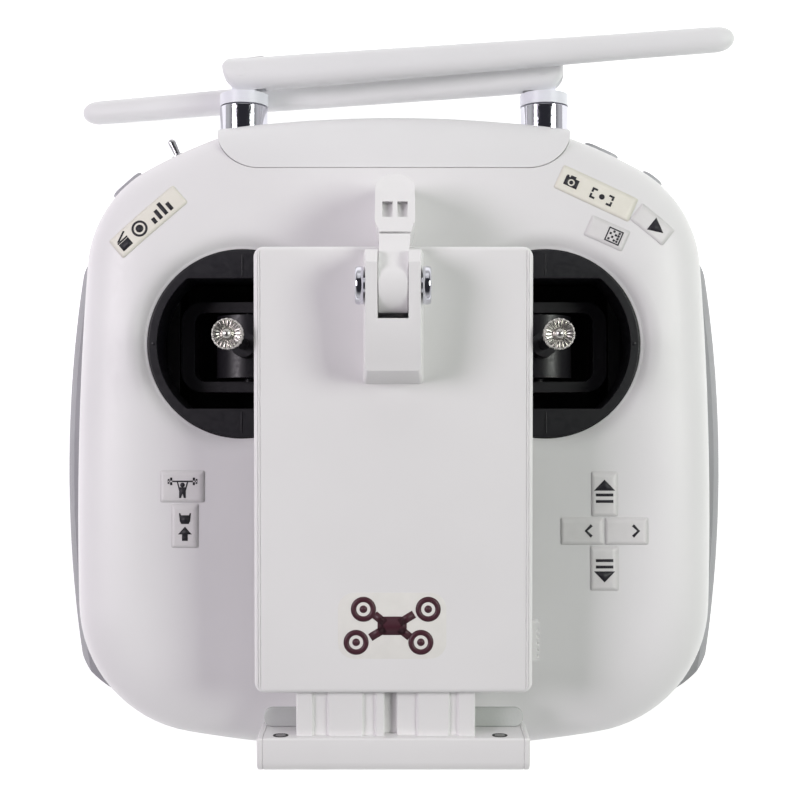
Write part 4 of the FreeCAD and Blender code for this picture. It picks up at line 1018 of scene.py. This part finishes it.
def jaw_lip():
    """The soft ledge along the jaw and its lip, with round outer corners."""
    ledge = slab((-33.2, 33.2), (RAIL_LOW, RAIL_LOW + 4.9), (-23.0, -21.3), 2.2, 0.4)
    lip = slab((-31.8, 31.8), (RAIL_LOW, RAIL_LOW + 1.6), (-26.6, -21.5), 0.5, 0.2)
    new_piece("jaw_cushion", in_holder(joined(ledge, lip)), "clamp", "pad_rubber", ["jaw_pad"])


# Y and height along the top of the bracket, and along the top and the underside of the arm.
BRACKET_TOP = [(-30.0, 0.2), (-20.7, 3.2), (-14.0, 5.4), (5.2, 6.4), (8.3, 3.4), (9.0, 3.4)]
ARM_TOP = [(20.0, 94.0), (34.0, 94.0), (36.0, 93.66), (37.9, 92.55), (60.4, 73.0), (64.9, 67.6), (70.0, 67.6)]
ARM_UNDER = [(20.0, 85.2), (34.0, 82.75), (48.0, 80.4)]
CHEEK_HALF, CHEEK_SLOT, BRACKET_END = 7.5, 3.65, -22.9
POST_SHIFT = 0.4
POST_RADIUS, POST_TOP = 5.1, 59.8


def profile_height(profile, y):
    return float(np.interp(y, [point[0] for point in profile], [point[1] for point in profile]))


def block_between(loop, top, under, holes=(), depth=2.2):
    """Walls between two heights that vary along Y, with a cap on top and shallow pockets in it."""
    def raised(flat, drop=0):
        return [(x, y, profile_height(top, y) - drop) for x, y in flat]

    breaks = [(x, y) for y in sorted({point[0] for point in top}) for x in crossings(loop, y)]
    ring = with_breaks(loop, [point[0] for point in top])
    shapes = [open_loft([[(x, y, under(y)) for x, y in ring], raised(ring)])]
    flat, faces = filled([ring] + list(holes), breaks)
    shapes.append((raised(flat), faces))
    flat, faces = filled([ring])
    shapes.append(([(x, y, under(y)) for x, y in flat], faces))
    for hole in holes:
        points, faces = loft([raised(hole), raised(hole, depth)])
        shapes.append((points, faces[:-2] + [faces[-1]]))
    return joined(*shapes)


def crossings(loop, level):
    """Where a closed loop crosses a level of Y."""
    found = []
    for (ax, ay), (bx, by) in zip(loop, loop[1:] + loop[:1]):
        if (ay - level) * (by - level) < 0:
            found.append(ax + (bx - ax) * (level - ay) / (by - ay))
    return found


def with_breaks(loop, levels):
    """The loop with a point added wherever it crosses one of the levels of Y."""
    result = []
    for (ax, ay), (bx, by) in zip(loop, loop[1:] + loop[:1]):
        result.append((ax, ay))
        steps = sorted(level for level in levels if (ay - level) * (by - level) < -1e-9)
        if by < ay:
            steps.reverse()
        result += [(ax + (bx - ax) * (level - ay) / (by - ay), level) for level in steps]
    return result


def bracket():
    """The hinge bracket on the cradle: two cheeks that grow out of a block with a sloping end."""
    turns = [math.pi / 2 * n / 4 for n in range(5)]
    corner = [(CHEEK_HALF - 1 + math.sin(t), BRACKET_END + 1 - math.cos(t)) for t in turns]
    right = [(CHEEK_SLOT, -8.0), (CHEEK_SLOT, 8.3), (CHEEK_HALF, 8.3)] + corner[::-1]
    loop = right + [(-x, y) for x, y in reversed(right)]
    points, faces = block_between(loop, BRACKET_TOP, lambda y: COVER_FACE - 0.05)
    shaped = []
    for x, y, z in points:
        share = (z - COVER_FACE) / 16
        draft = 0.985 - 0.125 * share if abs(x) > CHEEK_SLOT + 0.01 else 1
        shaped.append((x * draft, y - 0.8 + 4.4 * share if y < -15 else y, z))
    shape = in_holder((shaped, faces))
    soften(new_piece("hinge_bracket", shape, "holder", "holder_white", ["cradle_bracket"], 30), 0.5, 3, 30)


def hinge_coins():
    """Polished round caps on the hinge pin."""
    profile = [(0.02, 8.55), (3.5, 8.55), (3.75, 8.95), (4.2, 9.05), (4.5, 8.85), (4.6, 8.4), (4.6, 7.3),
               (4.4, 7.05), (1.9, 7.0), (1.9, 0.0)]
    caps = [moved(lathe(profile, 72), Matrix.Rotation(math.radians(side * 90), 4, "Y")) for side in (-1, 1)]
    new_piece("hinge_coins", in_holder(joined(*caps)), "holder", "chrome_ring", ["hinge_pin"], sharp=50)


def arm():
    """The arm on the face that carries the hinge: a post with a round top and a narrow neck."""
    turns = [math.pi * n / 24 for n in range(25)]
    round_top = [(POST_RADIUS * math.cos(t), POST_TOP + POST_RADIUS * math.sin(t)) for t in turns]
    waist = [(POST_RADIUS, 51.2), (5.0, 50.4), (4.72, 49.5), (4.35, 48.6), (4.05, 47.7), (3.9, 46.9)]
    post = round_top + [(-x, y) for x, y in waist] + waist[::-1]
    windows = [box_loop(side * 1.9, 53.9, 2.6, 4.5) for side in (-1, 1)]
    points, faces = block_between(post, ARM_TOP, lambda y: FACE - 0.1, windows)
    head_part = [(x * 0.97 + POST_SHIFT, y, z) for x, y, z in points], faces
    right = [(3.55, 34.0), (3.58, 39.0), (3.65, 43.0), (3.78, 47.5)]
    points, faces = block_between([(-x, y) for x, y in right][::-1] + right, ARM_TOP,
                                  lambda y: profile_height(ARM_UNDER, y))
    neck = [(x + POST_SHIFT * min(max((y - 38) / 8, 0), 1), y, z) for x, y, z in points], faces
    barrel = [(2.0, -3.55), (5.75, -3.55), (6.0, -3.3), (6.0, 3.3), (5.75, 3.55), (2.0, 3.55)]
    shape = joined(head_part, neck)
    soften(new_piece("holder_post", shape, "controller", "holder_white", ["holder_arm"], 30), 0.4, 3, 30)
    place = HINGE @ Matrix.Rotation(math.radians(90), 4, "Y")
    points, faces = moved(lathe(barrel, 72, True), place)
    points = [(x, y + min(y - 34, 0) * 0.1, z) for x, y, z in points]
    new_piece("holder_knuckle", (points, faces), "controller", "holder_white", sharp=40)


def badge():
    """A pale film with a quadcopter seen from above."""
    x = (-13.7, 13.1)
    y = (-91.6, -75.2)
    base = COVER_FACE + 0.04
    film = slab(x, y, (COVER_FACE - 0.02, base), 4, 0.03, False)
    new_piece("badge_base", in_holder(film), "holder", "badge_film", material=CREAM_FILM)
    middle = ((x[0] + x[1]) / 2, (y[0] + y[1]) / 2)
    slope = 0.22
    hubs = [(side * 8.0 + slope * end * 4.1, end * 4.1) for side in (-1, 1) for end in (-1, 1)]
    rotors = [circle(hub, radius, steps)
              for hub in hubs for radius, steps in ((3.1, 48), (1.75, 36), (0.95, 24))]
    body = rounded_rectangle((-3.6, 3.6), (-2.3, 2.3), 1.6)
    beams = [stroke([(side * out, side * up), (side * 1.8, side * end)], 2.0)
             for out, up, end in ((5.4, 2.9, 0.7), (4.4, -2.8, -0.7)) for side in (-1, 1)]
    flat = []
    for points, faces in [filled(rotors), filled([body])] + [filled([beam]) for beam in beams]:
        flat.append(([(px + middle[0], py + middle[1], base + 0.05) for px, py in points], faces))
    mark = new_piece("badge_sign", in_holder(joined(*flat)), "holder", "badge_film", ["cradle_badge"])
    modifier(mark, "SOLIDIFY", "film", thickness=0.03 * MM, offset=-1)


# ---- antennas


# Places along an antenna from its pin, with its half height and its half thickness there.
BLADE_PLACES = [-5.5, 0, 15, 40, 75, 100, 134]
BLADE_HEIGHTS = [4.6, 4.6, 4.6, 4.3, 3.85, 3.5, 3.35]
BLADE_DEPTHS = [4.5, 4.5, 4.3, 4.0, 3.6, 3.45, 3.35]
BLADE_TIP = 135.3
TIP_ROUND = 5.5
ROOT_TOP = [(-5.5, 2.9), (-5.35, 3.65), (-4.95, 4.2), (-4.3, 4.52), (-3.4, 4.6), (200, 9.0)]
ROOT_BASE = [(-5.5, -0.6), (-5.4, 0.3), (-5.1, 1.35), (-4.5, 2.3), (-3.7, 3.15), (-2.7, 3.9), (-1.6, 4.35),
             (-0.4, 4.58), (200, 9.0)]
SLOT_HALF = 1.7
SLOT_REACH = 6.1
ROOT_STATIONS = [-5.5, -5.44, -5.3, -5.1, -4.8, -4.4, -3.9, -3.3, -2.6, -1.8, -0.9, 0.4, 2.0, 4.0, SLOT_REACH]
SHAFT_STATIONS = [SLOT_REACH, 9, 15, 25, 40, 55, 75, 90, 105, 120]
SHAFT_STATIONS += [BLADE_TIP - TIP_ROUND * (1 - math.sin(math.pi / 2 * step / 10)) for step in range(11)]
RING_STEPS = 32
SECTION_POWER = 0.85
PIN_PLACE = (42.2, 100, 30)


def blade_ring(place, rise, clip=0):
    """A section of an antenna; clip keeps it above or below the slot for the tang."""
    height = float(np.interp(place, BLADE_PLACES, BLADE_HEIGHTS))
    depth = float(np.interp(place, BLADE_PLACES, BLADE_DEPTHS))
    top = min(height, profile_height(ROOT_TOP, place))
    base = min(height, profile_height(ROOT_BASE, place))
    depth *= min(1, 0.8 + 0.2 * math.sqrt(min((place + 5.5) / 1.0, 1)))
    left = (place - BLADE_TIP + TIP_ROUND) / TIP_ROUND
    if left > 0:
        shrink = math.sqrt(max(1 - left**2.4, 0.0004))
        top, base, depth = top * shrink, base * shrink, depth * shrink
    centre, half = (top - base) / 2, (top + base) / 2
    ring = []
    for step in range(RING_STEPS):
        turn = 2 * math.pi * step / RING_STEPS
        up, out = math.sin(turn), math.cos(turn)
        y = centre + half * math.copysign(abs(up) ** SECTION_POWER, up)
        z = depth * math.copysign(abs(out) ** SECTION_POWER, out)
        if clip:
            z = clip * max(clip * z, SLOT_HALF)
        ring.append((place, y + rise * max(place, 0) / BLADE_PLACES[-1], z))
    return ring


def antennas():
    """Both antennas: a slotted root round the hinge and a blade that narrows to a soft tip."""
    pin = lathe([(1.25, -4.54), (1.25, 4.54)], 40)
    pin_x, pin_y, pin_z = PIN_PLACE
    for side, tag, swivel, slope, rise in ((-1, "left", -7, 1.9, 1.2), (1, "right", 172, -2.8, 0.0)):
        turn = Matrix.Rotation(math.radians(swivel), 4, "Y") @ Matrix.Rotation(math.radians(slope), 4, "Z")
        seat = Matrix.Translation((side * pin_x, pin_y, pin_z)) @ turn
        parts = []
        for clip in (1, -1):
            points, faces = loft([blade_ring(place, rise, clip) for place in ROOT_STATIONS])
            parts.append((points, faces[:-1]))
        points, faces = loft([blade_ring(place, rise) for place in SHAFT_STATIONS])
        parts.append((points, faces[:-2] + faces[-1:]))
        stop = [(place, y * 0.99, z * 0.99) for place, y, z in points[:RING_STEPS]]
        parts.append((stop, [tuple(range(RING_STEPS))]))
        body = tag + "_antenna"
        new_piece(tag + "_blade", moved(joined(*parts), seat), body, "antenna_white",
                  [tag + "_antenna_blade", tag + "_antenna_pin"], 50)
        new_piece(tag + "_pin", moved(pin, seat), body, "antenna_white", sharp=50)


# ---- camera and lights


# Each light's place, size in metres, power in watts and colour.
LIGHTS = [
    ("left_light", (-0.62, 0.14, 0.72), 0.34, 4.25, (1.0, 0.93, 1.0)),
    ("right_light", (0.62, 0.14, 0.72), 0.34, 4.1, (0.96, 1.0, 0.93)),
    ("back_light", (0.0, 0.75, 0.62), 0.5, 0.5, (1.0, 1.0, 1.0)),
]
LIT_PLACE = Vector((0, 0, 0.05))
FLOOR_REACH = 3.0
CAMERA_PLACE = (0.0014, -0.0041, 0.42)
CAMERA_TILT = (1.85, -0.04, 0)


def studio():
    """A white floor, a plain sky, three soft lights and the camera almost straight above the face."""
    floor_mesh = bpy.data.meshes.new("floor")
    corners = box_loop(0, 0, 2 * FLOOR_REACH, 2 * FLOOR_REACH)
    floor_mesh.from_pydata([(x, y, 0) for x, y in corners], [], [(0, 1, 2, 3)])
    floor = bpy.data.objects.new("floor", floor_mesh)
    floor.location.z = cad_bounds[0][2]
    bpy.context.collection.objects.link(floor)
    made, _, shader = new_material("floor_white")
    shader.inputs["Base Color"].default_value = (0.9, 0.9, 0.9, 1)
    shader.inputs["Roughness"].default_value = 0.9
    shader.inputs["Emission Color"].default_value = (1, 1, 1, 1)
    shader.inputs["Emission Strength"].default_value = 0.55
    floor_mesh.materials.append(made)

    world = bpy.data.worlds.new("studio")
    world.use_nodes = True
    sky = world.node_tree.nodes
    join = world.node_tree.links
    coordinates = sky.new("ShaderNodeTexCoord")
    height = sky.new("ShaderNodeSeparateXYZ")
    join.new(coordinates.outputs["Generated"], height.inputs["Vector"])
    shade = sky.new("ShaderNodeValToRGB")
    grade(shade, (0.3, 0.72), ((1, 1, 1), (0.05, 0.05, 0.06)))
    join.new(height.outputs["Z"], shade.inputs["Fac"])
    join.new(shade.outputs["Color"], sky["Background"].inputs["Color"])
    sky["Background"].inputs["Strength"].default_value = 0.6
    bpy.context.scene.world = world

    for name, place, size, power, colour in LIGHTS:
        light = bpy.data.lights.new(name, "AREA")
        light.size = size
        light.energy = power
        light.color = colour
        lamp = bpy.data.objects.new(name, light)
        lamp.location = place
        lamp.rotation_euler = (LIT_PLACE - Vector(place)).to_track_quat("-Z", "Y").to_euler()
        bpy.context.collection.objects.link(lamp)

    lens = bpy.data.cameras.new("camera")
    lens.lens = 62.8
    lens.sensor_width = 36
    lens.clip_start = 0.01
    camera = bpy.data.objects.new("camera", lens)
    camera.location = CAMERA_PLACE
    camera.rotation_euler = [math.radians(angle) for angle in CAMERA_TILT]
    bpy.context.collection.objects.link(camera)
    bpy.context.scene.camera = camera
    bpy.context.scene.view_settings.view_transform = "Standard"


# ---- build


def main():
    for node in frame["nodes"]:
        finish_node(node)
    for build in (face_panel, deck, label_sheets, stick_heads, well_marks, toggle_bushing, cover, rails, jaw,
                  jaw_lip, bracket, hinge_coins, arm, badge, antennas, studio):
        build()


main()
